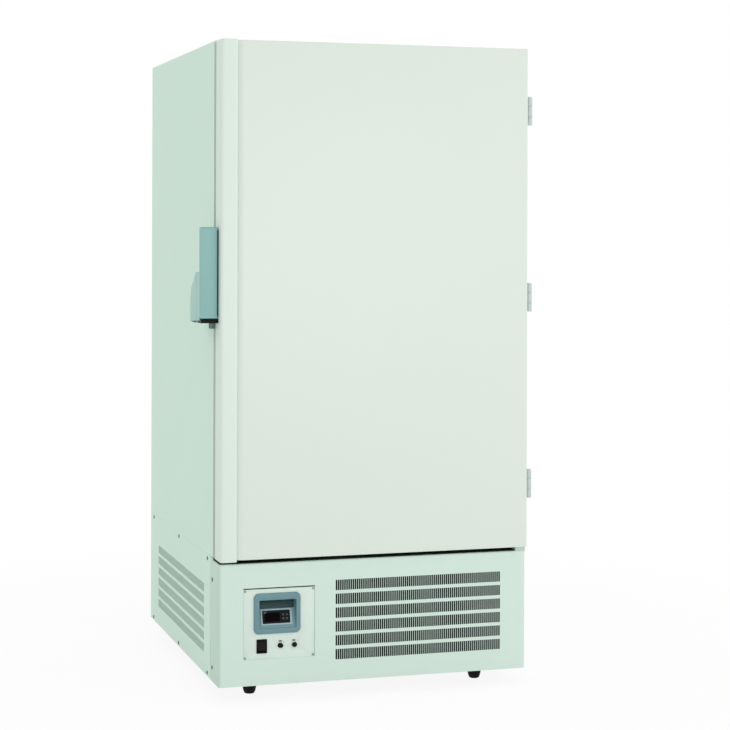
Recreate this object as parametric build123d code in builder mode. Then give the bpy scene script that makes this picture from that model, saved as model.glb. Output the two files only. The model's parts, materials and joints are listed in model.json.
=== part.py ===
from build123d import *
import os
from math import cos, radians, sin, tan

os.makedirs("parts", exist_ok=True)

# Upright ultra low temperature freezer with one foamed door, a machine compartment below
# the cabinet and a lever handle on the door's left side. Sizes are in millimetres.
# X runs to the viewer's right, Y to the back and Z up. The origin is on the floor, under
# the middle of the freezer's outer box.

# Driving dimensions: cabinet
cabinet_width = 880
cabinet_height = 1745
cabinet_depth = 916
cabinet_corner = 5
wall_thickness = 130
rim_width = 52
sheet = 1.5
liner_sheet = 1.2
liner_corner = 12
collar_wall = 3
collar_depth = 25

# Driving dimensions: base and feet
base_height = 335
floor_gap = 45
base_setback = 14
base_corner = 9
wrap_depth = 102
ledge_drop = 7
pan_lift = 30
pan_thickness = 3
pan_lip = 25
post_width = 38
foot_inset = 111
foot_setback = 112
pad_diameter = 39
pad_height = 16
stud_diameter = 12
stud_length = 92
boss_height = 14
boss_wall = 6

# Driving dimensions: casters
caster_setback = 221
rear_caster_inset = 110
wheel_diameter = 50
wheel_width = 22
wheel_trail = 18
axle_diameter = 8
axle_head = 3
fork_sheet = 3
fork_side_gap = 1.5
fork_crown_gap = 4
caster_plate_length = 74
caster_plate_width = 62
caster_plate_thickness = 4
swivel_boss_diameter = 30
swivel_pin_diameter = 10
front_wheel_lift = 0.7

# Driving dimensions: vents
vent_slot_height = 28.5
vent_row_pitch = 37.8
vent_rows = 6
front_vent_left_margin = 324
front_vent_right_margin = 74
front_vent_low = 57
front_slot_pitch = 30
front_slot_bar = 8
side_vent_start = 200
side_vent_back_margin = 124
side_slot_height = 24
side_row_pitch = 33.4
side_slot_pitch = 68
side_slot_bar = 12
rear_slot_width = 60
rear_slot_height = 6
rear_slot_columns = 6
rear_slot_rows = 6

# Driving dimensions: screws
screw_head = 9
screw_head_height = 1.8
screw_margin = 10
screw_column_front = 160
screw_column_back = 51
screw_sides = 8
wrap_screw_column = 97
wrap_screw_high = 277
wrap_screw_low = 38
plate_screw_head = 6
plate_screw_in = 5

# Driving dimensions: outer door
door_thickness = 80
gasket_gap = 11
door_top_drop = 5
door_lift = 7
trim_width = 47
trim_corner = 13
trim_wall = 3
trim_extra_low = 5
trim_extra_high = 2
roll_width = 17
roll_depth = 7
panel_edge = 4
inner_panel_sheet = 2.5
plug_reach = 25
plug_side_gap = 8
plug_draft = 3
plug_corner = 20
gasket_inset = 20
gasket_width = 30
gasket_groove = 4

# Driving dimensions: hinges
hinge_axis_out = 13
hinge_axis_back = 25
knuckle_radius = 8.5
hinge_height = 78
hinge_inset = 174
middle_knuckle = 30
leaf_sheet = 3
leaf_front = 12
leaf_back = 70
strap_sheet = 5
strap_inner_gap = 4
strap_bend_start = 70
strap_bend_end = 102
strap_end = 165
hinge_pin_diameter = 8
hinge_pin_head = 2
corner_block_width = 29

# Driving dimensions: handle on the door and strike on the cabinet
handle_low = 643
handle_base_height = 136
handle_width = 46
handle_stand_out = 48
lever_setback = 31
lever_depth = 24
lever_length = 246
lever_lift = 13
lever_wall = 3
lever_corner = 7
handle_wall = 2.5
handle_base_front = 56
ear_thickness = 5
ear_spacing = 25
ear_radius = 8
lug_width = 10
handle_pin_diameter = 6
toe_length = 69
toe_height = 10
striker_diameter = 12
striker_back = 13
strike_depth = 86
strike_nose = 18
padlock_lug_length = 17
padlock_lug_sheet = 4
padlock_lug_reach = 6
padlock_hole = 6

# Driving dimensions: inside of the cabinet
inner_door_thickness = 35
inner_door_front_gap = 6
inner_door_side_gap = 5
inner_door_end_gap = 8
inner_door_corner = 8
inner_door_recess = 10
inner_door_frame = 45
inner_axis_in = 12
inner_axis_back = 8
inner_pin_diameter = 8
inner_pin_length = 20
inner_pull_width = 16
inner_pull_length = 110
inner_pull_height = 9
shelf_count = 3
shelf_side_gap = 6
shelf_front_gap = 8
shelf_back_gap = 12
shelf_lip = 20
pilaster_width = 20
pilaster_depth = 4
pilaster_end_gap = 15
clip_reach = 12
clip_height = 8
coil_diameter = 12
tube_sides = 6
coil_runs = 3
coil_bend = 45
coil_end_margin = 90
coil_side_margin = 60
coil_tail = 26

# Driving dimensions: controls
plate_left_margin = 67
plate_low = 70
plate_width = 200
plate_height = 190
plate_sheet = 2
plate_overlap = 8
bezel_left = 29
bezel_low = 68
bezel_width = 130
bezel_height = 110
bezel_corner = 14
bezel_proud = 5
bezel_body_wall = 3
recess_left = 15
recess_low = 15
recess_width = 103
recess_height = 76
recess_shallow = 3
recess_tilt = 16
controller_width = 77
controller_height = 35
controller_left = 10
controller_low = 12
controller_flange = 4
controller_body_inset = 3
controller_body_depth = 42
key_width = 7
key_height = 5
key_pitch_x = 10
key_pitch_y = 10
key_right = 9
key_depth = 2.5
key_travel = 0.8
switch_left = 37
switch_low = 16
switch_width = 29
switch_height = 38
switch_rim = 4
switch_rim_proud = 2
switch_body_depth = 24
switch_cavity_depth = 14
rocker_half = 12.8
rocker_tilt = 10
rocker_pivot_depth = 5
rocker_stub = 3
fuse_left = 104
fuse_pitch = 38
fuse_height = 35
fuse_cap_diameter = 16
fuse_cap_height = 7
fuse_body_diameter = 12
fuse_body_depth = 30
fuse_nut_height = 2
coin_slot_width = 1.6
coin_slot_depth = 1.4

# Driving dimensions: refrigeration and electrical pieces in the base
condenser_margin = 6
condenser_setback = 24
condenser_depth = 44
condenser_height = 208
fin_pitch = 20
fin_thickness = 2
fin_length = 16
shroud_sheet = 2
fan_opening = 200
fan_ring_depth = 32
fan_blade_gap = 5
fan_hub_diameter = 64
fan_hub_depth = 24
fan_blades = 5
blade_sheet = 2
blade_pitch_angle = 28
motor_diameter = 58
motor_depth = 40
motor_shaft = 8
motor_arm = 14
compressor_diameter = 160
compressor_height = 176
compressor_foot = 150
compressor_foot_sheet = 4
stub_diameter = 12
stub_height = 20
low_stage_offset = 52
high_stage_back = 470
exchanger_width = 110
exchanger_depth = 64
exchanger_clearance = 34
pipe_diameter = 12
pipe_bend = 24
drier_diameter = 34
drier_length = 110
box_left = 40
box_back = 150
box_width = 190
box_depth = 150
box_height = 150
box_lid = 2
inlet_left = 170
inlet_low = 120
inlet_width = 62
inlet_height = 42
inlet_flange = 2
inlet_socket_width = 30
inlet_socket_height = 20
inlet_socket_depth = 18
inlet_blade_width = 8
inlet_blade_thickness = 2

# Clearances
running_gap = 0.3
shaft_play = 0.05

# Outer box and the cabinet's faces
hinge_reach = hinge_axis_out + knuckle_radius
overall_width = handle_stand_out + cabinet_width + hinge_reach
cabinet_left = handle_stand_out - overall_width / 2
cabinet_right = cabinet_left + cabinet_width
overall_depth = door_thickness + gasket_gap + cabinet_depth + inlet_flange
door_front = -overall_depth / 2
door_back = door_front + door_thickness
cabinet_front = door_back + gasket_gap
cabinet_back = cabinet_front + cabinet_depth
base_bottom = floor_gap
base_top = base_bottom + base_height
cabinet_top = base_bottom + cabinet_height

# The cold space
opening_left = cabinet_left + wall_thickness
opening_right = cabinet_right - wall_thickness
opening_bottom = base_top + wall_thickness
opening_top = cabinet_top - wall_thickness
liner_back = cabinet_back - wall_thickness + liner_sheet
sleeve_back = cabinet_front + collar_depth

# The outer door
door_bottom = base_top + door_lift
door_top = cabinet_top - door_top_drop
skin_back = door_back - inner_panel_sheet
trim_edge = cabinet_left + trim_width
hinge_x = cabinet_right + hinge_axis_out
hinge_y = door_front + hinge_axis_back
hinge_levels = [door_bottom + hinge_inset, (door_bottom + door_top) / 2, door_top - hinge_inset]

# The base
base_front = door_front + base_setback
wrap_end = base_front + wrap_depth
pan_bottom = base_bottom + pan_lift
pan_top = pan_bottom + pan_thickness
inside_left = cabinet_left + sheet
inside_right = cabinet_right - sheet
base_inside_front = base_front + sheet
base_inside_back = cabinet_back - sheet


def front_plane(y):
    """Plane seen from the front at depth y: its x is X, its y is Z, and it extrudes to the front."""
    return Plane.XZ.offset(-y)


def side_plane(x):
    """Plane seen from the right at x: its x is Y, its y is Z, and it extrudes to the right."""
    return Plane.YZ.offset(x)


def floor_plane(z):
    """Level plane at height z: its x is X, its y is Y, and it extrudes upwards."""
    return Plane.XY.offset(z)


def span(left, right, low, high, mode=Mode.ADD):
    """Rectangle between four edges of the sketch."""
    with Locations(((left + right) / 2, (low + high) / 2)):
        Rectangle(right - left, high - low, mode=mode)


def rounded_span(left, right, low, high, radius, mode=Mode.ADD):
    """Rectangle with round corners between four edges of the sketch."""
    with Locations(((left + right) / 2, (low + high) / 2)):
        RectangleRounded(right - left, high - low, radius, mode=mode)


def cabinet_outline(inset, mode=Mode.ADD):
    """The upper cabinet seen from the front, drawn in by inset on each side."""
    rounded_span(
        cabinet_left + inset,
        cabinet_right - inset,
        base_top + inset,
        cabinet_top - inset,
        cabinet_corner - inset,
        mode,
    )


def rim_opening(mode=Mode.ADD):
    """The inner edge of the steel rim that the door's gasket seals on."""
    span(
        cabinet_left + rim_width,
        cabinet_right - rim_width,
        base_top + rim_width,
        cabinet_top - rim_width,
        mode,
    )


def opening_outline(outset, mode=Mode.ADD):
    """The mouth of the cold space seen from the front, drawn out by outset on each side."""
    rounded_span(
        opening_left - outset,
        opening_right + outset,
        opening_bottom - outset,
        opening_top + outset,
        liner_corner + outset,
        mode,
    )


# Evaporator route: a serpentine behind the liner, with both tails through the cabinet's floor
coil_y = liner_back + running_gap + coil_diameter / 2
coil_left = opening_left + coil_side_margin
coil_right = opening_right - 2 * coil_side_margin
coil_riser = opening_right - coil_side_margin
coil_low = opening_bottom + coil_end_margin
coil_pitch = (opening_top - opening_bottom - 2 * coil_end_margin) / (coil_runs - 1)
coil_tail_end = base_top - coil_tail
coil_points = [(coil_left, coil_tail_end)]
for run in range(coil_runs):
    run_height = coil_low + run * coil_pitch
    run_end = coil_riser if run == coil_runs - 1 else coil_right
    if run % 2 == 0:
        coil_points += [(coil_left, run_height), (run_end, run_height)]
    else:
        coil_points += [(coil_right, run_height), (coil_left, run_height)]
coil_points.append((coil_riser, coil_tail_end))

with BuildLine(front_plane(coil_y)) as coil_route:
    FilletPolyline(*coil_points, radius=coil_bend)

# Outer shell: a folded steel tube with a rim turned in at its front
with BuildPart() as outer_shell:
    with BuildSketch(front_plane(cabinet_back - sheet)):
        cabinet_outline(0)
        cabinet_outline(sheet, Mode.SUBTRACT)
    extrude(amount=cabinet_depth - sheet)
    with BuildSketch(front_plane(cabinet_front + sheet)):
        cabinet_outline(sheet / 2)
        rim_opening(Mode.SUBTRACT)
    extrude(amount=sheet)
    with BuildSketch(floor_plane(base_top)):
        with Locations((coil_left, coil_y), (coil_riser, coil_y)):
            Circle(coil_diameter / 2 + running_gap)
    extrude(amount=sheet, mode=Mode.SUBTRACT)
outer_shell.part.label = "outer_shell"
export_step(outer_shell.part, "parts/outer_shell.step")

# Back panel
with BuildPart() as back_panel:
    with BuildSketch(front_plane(cabinet_back)):
        cabinet_outline(0)
    extrude(amount=sheet)
back_panel.part.label = "back_panel"
export_step(back_panel.part, "parts/back_panel.step")

# Insulation: foam between the shell and the liner, with the evaporator's channel in its back
with BuildPart() as insulation_foam:
    with BuildSketch(front_plane(cabinet_back - sheet)):
        cabinet_outline(sheet)
    extrude(amount=cabinet_depth - 2 * sheet)
    with BuildSketch(front_plane(liner_back)):
        opening_outline(liner_sheet)
    extrude(amount=liner_back - cabinet_front, mode=Mode.SUBTRACT)
    with BuildSketch(front_plane(sleeve_back)):
        opening_outline(collar_wall)
    extrude(amount=collar_depth, mode=Mode.SUBTRACT)
    with BuildSketch(front_plane(cabinet_front + collar_wall)):
        rim_opening()
    extrude(amount=collar_wall, mode=Mode.SUBTRACT)
    with BuildSketch(Plane(origin=coil_route.line @ 0, z_dir=coil_route.line % 0)):
        Rectangle(coil_diameter + 2 * running_gap, coil_diameter + 2 * running_gap)
    sweep(path=coil_route.line, mode=Mode.SUBTRACT)
insulation_foam.part.label = "insulation_foam"
export_step(insulation_foam.part, "parts/insulation_foam.step")

# Breaker collar: a plastic frame that keeps the cold liner off the warm steel rim
with BuildPart() as breaker_collar:
    with BuildSketch(front_plane(cabinet_front + collar_wall)):
        rim_opening()
        opening_outline(0, Mode.SUBTRACT)
    extrude(amount=collar_wall)
    with BuildSketch(front_plane(sleeve_back)):
        opening_outline(collar_wall)
        opening_outline(0, Mode.SUBTRACT)
    extrude(amount=collar_depth)
breaker_collar.part.label = "breaker_collar"
export_step(breaker_collar.part, "parts/breaker_collar.step")

# Inner liner: a box of sheet, open at the front
with BuildPart() as inner_liner:
    with BuildSketch(front_plane(liner_back)):
        opening_outline(liner_sheet)
    extrude(amount=liner_back - sleeve_back)
    with BuildSketch(front_plane(liner_back - liner_sheet)):
        opening_outline(0)
    extrude(amount=liner_back - sleeve_back, mode=Mode.SUBTRACT)
inner_liner.part.label = "inner_liner"
export_step(inner_liner.part, "parts/inner_liner.step")

# Evaporator coil
with BuildPart() as evaporator_coil:
    with BuildSketch(Plane(origin=coil_route.line @ 0, z_dir=coil_route.line % 0)):
        RegularPolygon(radius=coil_diameter / 2, side_count=tube_sides)
    sweep(path=coil_route.line)
evaporator_coil.part.label = "evaporator_coil"
export_step(evaporator_coil.part, "parts/evaporator_coil.step")

# Shelves: folded trays, their top faces level with the compartments' floors
inner_door_front = cabinet_front + plug_reach + inner_door_front_gap
inner_door_back = inner_door_front + inner_door_thickness
shelf_left = opening_left + shelf_side_gap
shelf_right = opening_right - shelf_side_gap
shelf_front = inner_door_back + shelf_front_gap
shelf_back = liner_back - liner_sheet - shelf_back_gap
shelf_pitch = (opening_top - opening_bottom) / (shelf_count + 1)
shelf_levels = [opening_bottom + (number + 1) * shelf_pitch for number in range(shelf_count)]

with BuildPart() as shelves:
    for level in shelf_levels:
        with BuildSketch(floor_plane(level - shelf_lip)):
            span(shelf_left, shelf_right, shelf_front, shelf_back)
        extrude(amount=shelf_lip)
        with BuildSketch(floor_plane(level - shelf_lip)):
            span(
                shelf_left + sheet,
                shelf_right - sheet,
                shelf_front + sheet,
                shelf_back - sheet,
            )
        extrude(amount=shelf_lip - sheet, mode=Mode.SUBTRACT)
shelves.part.label = "shelves"
export_step(shelves.part, "parts/shelves.step")

# Shelf supports: four upright strips on the liner's side walls, each with one clip a shelf
pilaster_rows = [shelf_front + 3 * pilaster_width, shelf_back - 3 * pilaster_width]
with BuildPart() as shelf_supports:
    for strip_y in pilaster_rows:
        for wall, inward in ((opening_left, 1), (opening_right, -1)):
            strip_edge = wall + inward * pilaster_depth
            clip_edge = strip_edge + inward * clip_reach
            with BuildSketch(front_plane(strip_y + pilaster_width / 2)):
                span(
                    min(wall, strip_edge),
                    max(wall, strip_edge),
                    opening_bottom + pilaster_end_gap,
                    opening_top - pilaster_end_gap,
                )
                for level in shelf_levels:
                    clip_top = level - shelf_lip
                    with BuildLine():
                        Polyline(
                            (wall, clip_top),
                            (clip_edge, clip_top),
                            (clip_edge, clip_top - clip_height / 2),
                            (wall, clip_top - 2 * clip_height),
                            close=True,
                        )
                    make_face()
            extrude(amount=pilaster_width)
shelf_supports.part.label = "shelf_supports"
export_step(shelf_supports.part, "parts/shelf_supports.step")

# Inner doors: two moulded doors behind the outer one, with a sunk front and a fixed pull
inner_axis_x = opening_right - inner_axis_in
inner_axis_y = inner_door_front + inner_axis_back
inner_split = (opening_bottom + opening_top) / 2
inner_door_left = opening_left + inner_door_side_gap
inner_door_right = opening_right - inner_door_side_gap
inner_door_ends = {
    "inner_door_lower": (
        opening_bottom + inner_door_end_gap + running_gap,
        inner_split - inner_door_end_gap / 2 - running_gap,
    ),
    "inner_door_upper": (
        inner_split + inner_door_end_gap / 2 + running_gap,
        opening_top - inner_door_end_gap - running_gap,
    ),
}
for name, (low, high) in inner_door_ends.items():
    with BuildPart() as inner_door:
        with BuildSketch(front_plane(inner_door_back)):
            span(inner_door_left, inner_door_right, low, high)
        extrude(amount=inner_door_thickness)
        upright_edges = inner_door.edges().filter_by(Axis.Z)
        fillet(upright_edges.group_by(Axis.Y)[0].sort_by(Axis.X)[-1], radius=inner_door_corner - 2)
        fillet(inner_door.edges().filter_by(Axis.Z).sort_by(Axis.X)[0:2], radius=inner_door_corner)
        with BuildSketch(front_plane(inner_door_front + inner_door_recess)):
            rounded_span(
                inner_door_left + inner_door_frame,
                inner_door_right - inner_door_frame,
                low + inner_door_frame,
                high - inner_door_frame,
                inner_door_corner,
            )
        extrude(amount=inner_door_recess, mode=Mode.SUBTRACT)
        with BuildSketch(front_plane(inner_door_front + inner_door_recess)):
            with Locations((inner_door_left + 2 * inner_door_frame, (low + high) / 2)):
                SlotOverall(inner_pull_length, inner_pull_width, rotation=90)
        extrude(amount=inner_pull_height)
        for end, depth in ((low, inner_pin_length), (high, -inner_pin_length)):
            with BuildSketch(floor_plane(end)):
                with Locations((inner_axis_x, inner_axis_y)):
                    Circle(inner_pin_diameter / 2 + shaft_play)
            extrude(amount=depth + (1 if depth > 0 else -1), mode=Mode.SUBTRACT)
    inner_door.part.label = name
    export_step(inner_door.part, f"parts/{name}.step")

# Inner door hinges: three brackets on the liner's right wall, with pins into the doors
inner_brackets = (
    (opening_bottom, opening_bottom + inner_door_end_gap, (1,)),
    (inner_split - inner_door_end_gap / 2, inner_split + inner_door_end_gap / 2, (1, -1)),
    (opening_top - inner_door_end_gap, opening_top, (-1,)),
)
with BuildPart() as inner_door_hinges:
    for low, high, pins in inner_brackets:
        with BuildSketch(floor_plane(low)):
            with Locations((inner_axis_x, inner_axis_y)):
                Circle(inner_axis_back)
            span(
                inner_axis_x,
                opening_right,
                inner_axis_y - inner_axis_back,
                inner_axis_y + inner_axis_back,
            )
        extrude(amount=high - low)
        for up in pins:
            with BuildSketch(floor_plane(high if up > 0 else low)):
                with Locations((inner_axis_x, inner_axis_y)):
                    Circle(inner_pin_diameter / 2)
            extrude(amount=up * inner_pin_length)
    with BuildSketch(front_plane(liner_back)):
        opening_outline(0)
    extrude(amount=liner_back - cabinet_front, mode=Mode.INTERSECT)
inner_door_hinges.part.label = "inner_door_hinges"
export_step(inner_door_hinges.part, "parts/inner_door_hinges.step")


def trim_section(z):
    """The handle-side edge trim seen from above, with its round front corner."""
    with BuildSketch(floor_plane(z)) as section:
        span(cabinet_left, trim_edge, door_front, skin_back)
        fillet(section.vertices().group_by(Axis.Y)[0].sort_by(Axis.X)[0], radius=trim_corner)
    return section.sketch


def panel_section(z):
    """The door's outer panel seen from above: rolled in beside the trim, then flat."""
    with BuildSketch(floor_plane(z)) as section:
        with BuildLine():
            TangentArc(
                (trim_edge + roll_width, door_front),
                (trim_edge, door_front + roll_depth),
                tangent=(-1, 0),
            )
            Polyline(
                (trim_edge, door_front + roll_depth),
                (trim_edge, skin_back),
                (cabinet_right, skin_back),
                (cabinet_right, door_front),
                (trim_edge + roll_width, door_front),
            )
        make_face()
        fillet(section.vertices().group_by(Axis.X)[-1].sort_by(Axis.Y)[0], radius=panel_edge)
    return section.sketch


def plug_section(y, inset):
    """The raised middle of the door's inner panel seen from the front at depth y."""
    gap = plug_side_gap + inset
    with BuildSketch(front_plane(y)) as section:
        rounded_span(
            opening_left + gap,
            opening_right - gap,
            opening_bottom + gap,
            opening_top - gap,
            plug_corner,
        )
    return section.sketch


# Door edge trim: a hollow moulding with a round corner down the handle side
with BuildPart() as door_edge_trim:
    extrude(
        trim_section(door_bottom - trim_extra_low),
        amount=door_top + trim_extra_high - door_bottom + trim_extra_low,
    )
    offset(
        amount=-trim_wall,
        openings=door_edge_trim.faces().sort_by(Axis.Y)[-1],
        kind=Kind.INTERSECTION,
    )
door_edge_trim.part.label = "door_edge_trim"
export_step(door_edge_trim.part, "parts/door_edge_trim.step")

# Door outer panel: a pan of sheet steel, open at the back
with BuildPart() as door_outer_panel:
    extrude(panel_section(door_bottom), amount=door_top - door_bottom)
    offset(
        amount=-sheet,
        openings=door_outer_panel.faces().sort_by(Axis.Y)[-1],
        kind=Kind.INTERSECTION,
    )
door_outer_panel.part.label = "door_outer_panel"
export_step(door_outer_panel.part, "parts/door_outer_panel.step")

# Door inner panel: a flat rim and a drafted plug that reaches into the opening
plug_back = cabinet_front + plug_reach
with BuildPart() as door_inner_panel:
    with BuildSketch(front_plane(door_back)):
        span(cabinet_left, cabinet_right, door_bottom, door_top)
    extrude(amount=inner_panel_sheet)
    loft([plug_section(skin_back, 0), plug_section(plug_back, plug_draft)])
    loft(
        [
            plug_section(skin_back, inner_panel_sheet),
            plug_section(plug_back - inner_panel_sheet, plug_draft + inner_panel_sheet),
        ],
        mode=Mode.SUBTRACT,
    )
door_inner_panel.part.label = "door_inner_panel"
export_step(door_inner_panel.part, "parts/door_inner_panel.step")

# Door foam: it fills the outer panel and the plug
with BuildPart() as door_foam:
    extrude(panel_section(door_bottom + sheet), amount=door_top - door_bottom - 2 * sheet)
    add(door_outer_panel.part, mode=Mode.SUBTRACT)
    loft(
        [
            plug_section(skin_back, inner_panel_sheet),
            plug_section(plug_back - inner_panel_sheet, plug_draft + inner_panel_sheet),
        ]
    )
door_foam.part.label = "door_foam"
export_step(door_foam.part, "parts/door_foam.step")

# Door gasket: a grooved ring that rests on the cabinet's rim
gasket_depth = gasket_gap - running_gap
gasket_sides = (
    cabinet_left + gasket_inset,
    cabinet_right - gasket_inset,
    door_bottom + gasket_inset,
    door_top - gasket_inset,
)


def gasket_outline(inset, mode=Mode.ADD):
    """A loop of the gasket seen from the front, drawn in by inset on each side."""
    left, right, low, high = gasket_sides
    span(left + inset, right - inset, low + inset, high - inset, mode)


with BuildPart() as door_gasket:
    with BuildSketch(front_plane(door_back + gasket_depth)):
        gasket_outline(0)
        gasket_outline(gasket_width, Mode.SUBTRACT)
    extrude(amount=gasket_depth)
    with BuildSketch(front_plane(door_back + 2 * gasket_depth / 3)):
        gasket_outline(0)
        gasket_outline(gasket_groove, Mode.SUBTRACT)
        gasket_outline(gasket_width - gasket_groove)
        gasket_outline(gasket_width, Mode.SUBTRACT)
    extrude(amount=gasket_depth / 3, mode=Mode.SUBTRACT)
door_gasket.part.label = "door_gasket"
export_step(door_gasket.part, "parts/door_gasket.step")

# Hinges: a leaf on the door's side with the middle knuckle, a strap on the cabinet with two
strap_inner = cabinet_right + leaf_sheet + strap_inner_gap
strap_outer = strap_inner + strap_sheet
with BuildPart() as door_hinge_leaves:
    for level in hinge_levels:
        with BuildSketch(side_plane(cabinet_right)):
            rounded_span(
                door_front + leaf_front,
                door_front + leaf_back,
                level - hinge_height / 2,
                level + hinge_height / 2,
                leaf_sheet,
            )
        extrude(amount=leaf_sheet)
        with BuildSketch(floor_plane(level - middle_knuckle / 2)):
            with Locations((hinge_x, hinge_y)):
                Circle(knuckle_radius)
            span(
                cabinet_right,
                hinge_x,
                hinge_y - knuckle_radius / 2,
                hinge_y + knuckle_radius / 2,
            )
            with Locations((hinge_x, hinge_y)):
                Circle(hinge_pin_diameter / 2 + shaft_play, mode=Mode.SUBTRACT)
        extrude(amount=middle_knuckle)
door_hinge_leaves.part.label = "door_hinge_leaves"
export_step(door_hinge_leaves.part, "parts/door_hinge_leaves.step")

ledge_top = base_top - ledge_drop
with BuildPart() as hinge_brackets:
    for level in hinge_levels:
        with BuildSketch(floor_plane(level - hinge_height / 2)):
            with BuildLine():
                Polyline(
                    (strap_inner, hinge_y),
                    (strap_outer, hinge_y),
                    (strap_outer, door_front + strap_bend_start),
                    (cabinet_right + strap_sheet, door_front + strap_bend_end),
                    (cabinet_right + strap_sheet, door_front + strap_end),
                    (cabinet_right, door_front + strap_end),
                    (cabinet_right, door_front + strap_bend_end),
                    (strap_inner, door_front + strap_bend_start),
                    close=True,
                )
            make_face()
            with Locations((hinge_x, hinge_y)):
                Circle(knuckle_radius)
                Circle(hinge_pin_diameter / 2 + shaft_play, mode=Mode.SUBTRACT)
        extrude(amount=hinge_height)
        with BuildSketch(floor_plane(level - middle_knuckle / 2 - running_gap)):
            with Locations((hinge_x, hinge_y)):
                Circle(knuckle_radius + 5 * running_gap)
        extrude(amount=middle_knuckle + 2 * running_gap, mode=Mode.SUBTRACT)
    with BuildSketch(floor_plane(ledge_top)):
        span(
            cabinet_right - corner_block_width,
            cabinet_right,
            base_inside_front,
            cabinet_front - running_gap,
        )
    extrude(amount=door_bottom - 1 - ledge_top)
hinge_brackets.part.label = "hinge_brackets"
export_step(hinge_brackets.part, "parts/hinge_brackets.step")

with BuildPart() as hinge_pins:
    for level in hinge_levels:
        with BuildSketch(floor_plane(level - hinge_height / 2)):
            with Locations((hinge_x, hinge_y)):
                Circle(hinge_pin_diameter / 2)
        extrude(amount=hinge_height)
        with BuildSketch(floor_plane(level + hinge_height / 2)):
            with Locations((hinge_x, hinge_y)):
                Circle(hinge_pin_diameter / 2 + hinge_pin_head)
        extrude(amount=hinge_pin_head)
hinge_pins.part.label = "hinge_pins"
export_step(hinge_pins.part, "parts/hinge_pins.step")

# Handle: places shared by the lever, its base on the door and the strike on the cabinet
lever_left = cabinet_left - handle_stand_out
lever_right = lever_left + handle_width
lever_middle = (lever_left + lever_right) / 2
padlock_lug_middle = cabinet_left - running_gap - padlock_lug_reach
lever_front = door_front + lever_setback
lever_back = lever_front + lever_depth
handle_bottom = door_bottom - door_lift + handle_low
handle_top = handle_bottom + handle_base_height
lever_bottom = handle_bottom + lever_lift
lever_top = lever_bottom + lever_length
pivot_y = lever_front + lever_depth / 2
pivot_z = lever_bottom + lever_depth / 2
base_left = lever_left + 1
toe_low = pivot_z - toe_height / 3
ear_faces = [
    lever_middle - ear_spacing / 2 - ear_thickness / 2,
    lever_middle + ear_spacing / 2 - ear_thickness / 2,
]

with BuildPart() as handle_base:
    with BuildSketch(front_plane(door_back - running_gap)):
        span(base_left, cabinet_left, handle_bottom, handle_top)
        span(
            base_left + handle_wall,
            cabinet_left - handle_wall,
            handle_bottom + handle_wall,
            handle_top - handle_wall,
            Mode.SUBTRACT,
        )
    extrude(amount=door_thickness - running_gap - handle_base_front)
    for face in ear_faces:
        with BuildSketch(side_plane(face)):
            with BuildLine():
                Polyline(
                    (pivot_y, pivot_z),
                    (door_front + handle_base_front + 1, pivot_z - ear_thickness),
                    (door_front + handle_base_front + 1, handle_bottom + handle_wall / 2),
                    (door_back - ear_thickness, handle_bottom + handle_wall / 2),
                    (door_back - ear_thickness, pivot_z + 4 * ear_radius),
                    (pivot_y + ear_radius, pivot_z + 2.5 * ear_radius),
                    (pivot_y, pivot_z + ear_radius),
                    close=True,
                )
            make_face()
            with Locations((pivot_y, pivot_z)):
                Circle(ear_radius)
                Circle(handle_pin_diameter / 2 + shaft_play, mode=Mode.SUBTRACT)
        extrude(amount=ear_thickness)
    with BuildSketch(front_plane(door_back - running_gap)):
        span(
            padlock_lug_middle - padlock_lug_reach,
            padlock_lug_middle + padlock_lug_reach,
            handle_bottom - padlock_lug_length,
            handle_bottom + handle_wall,
        )
        with Locations((padlock_lug_middle, handle_bottom - padlock_lug_length / 2)):
            Circle(padlock_hole / 2, mode=Mode.SUBTRACT)
    extrude(amount=padlock_lug_sheet)
handle_base.part.label = "handle_base"
export_step(handle_base.part, "parts/handle_base.step")

with BuildPart() as handle_pivot_pin:
    with BuildSketch(side_plane(lever_left + lever_wall / 2)):
        with Locations((pivot_y, pivot_z)):
            Circle(handle_pin_diameter / 2)
    extrude(amount=handle_width - lever_wall)
handle_pivot_pin.part.label = "handle_pivot_pin"
export_step(handle_pivot_pin.part, "parts/handle_pivot_pin.step")

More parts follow.
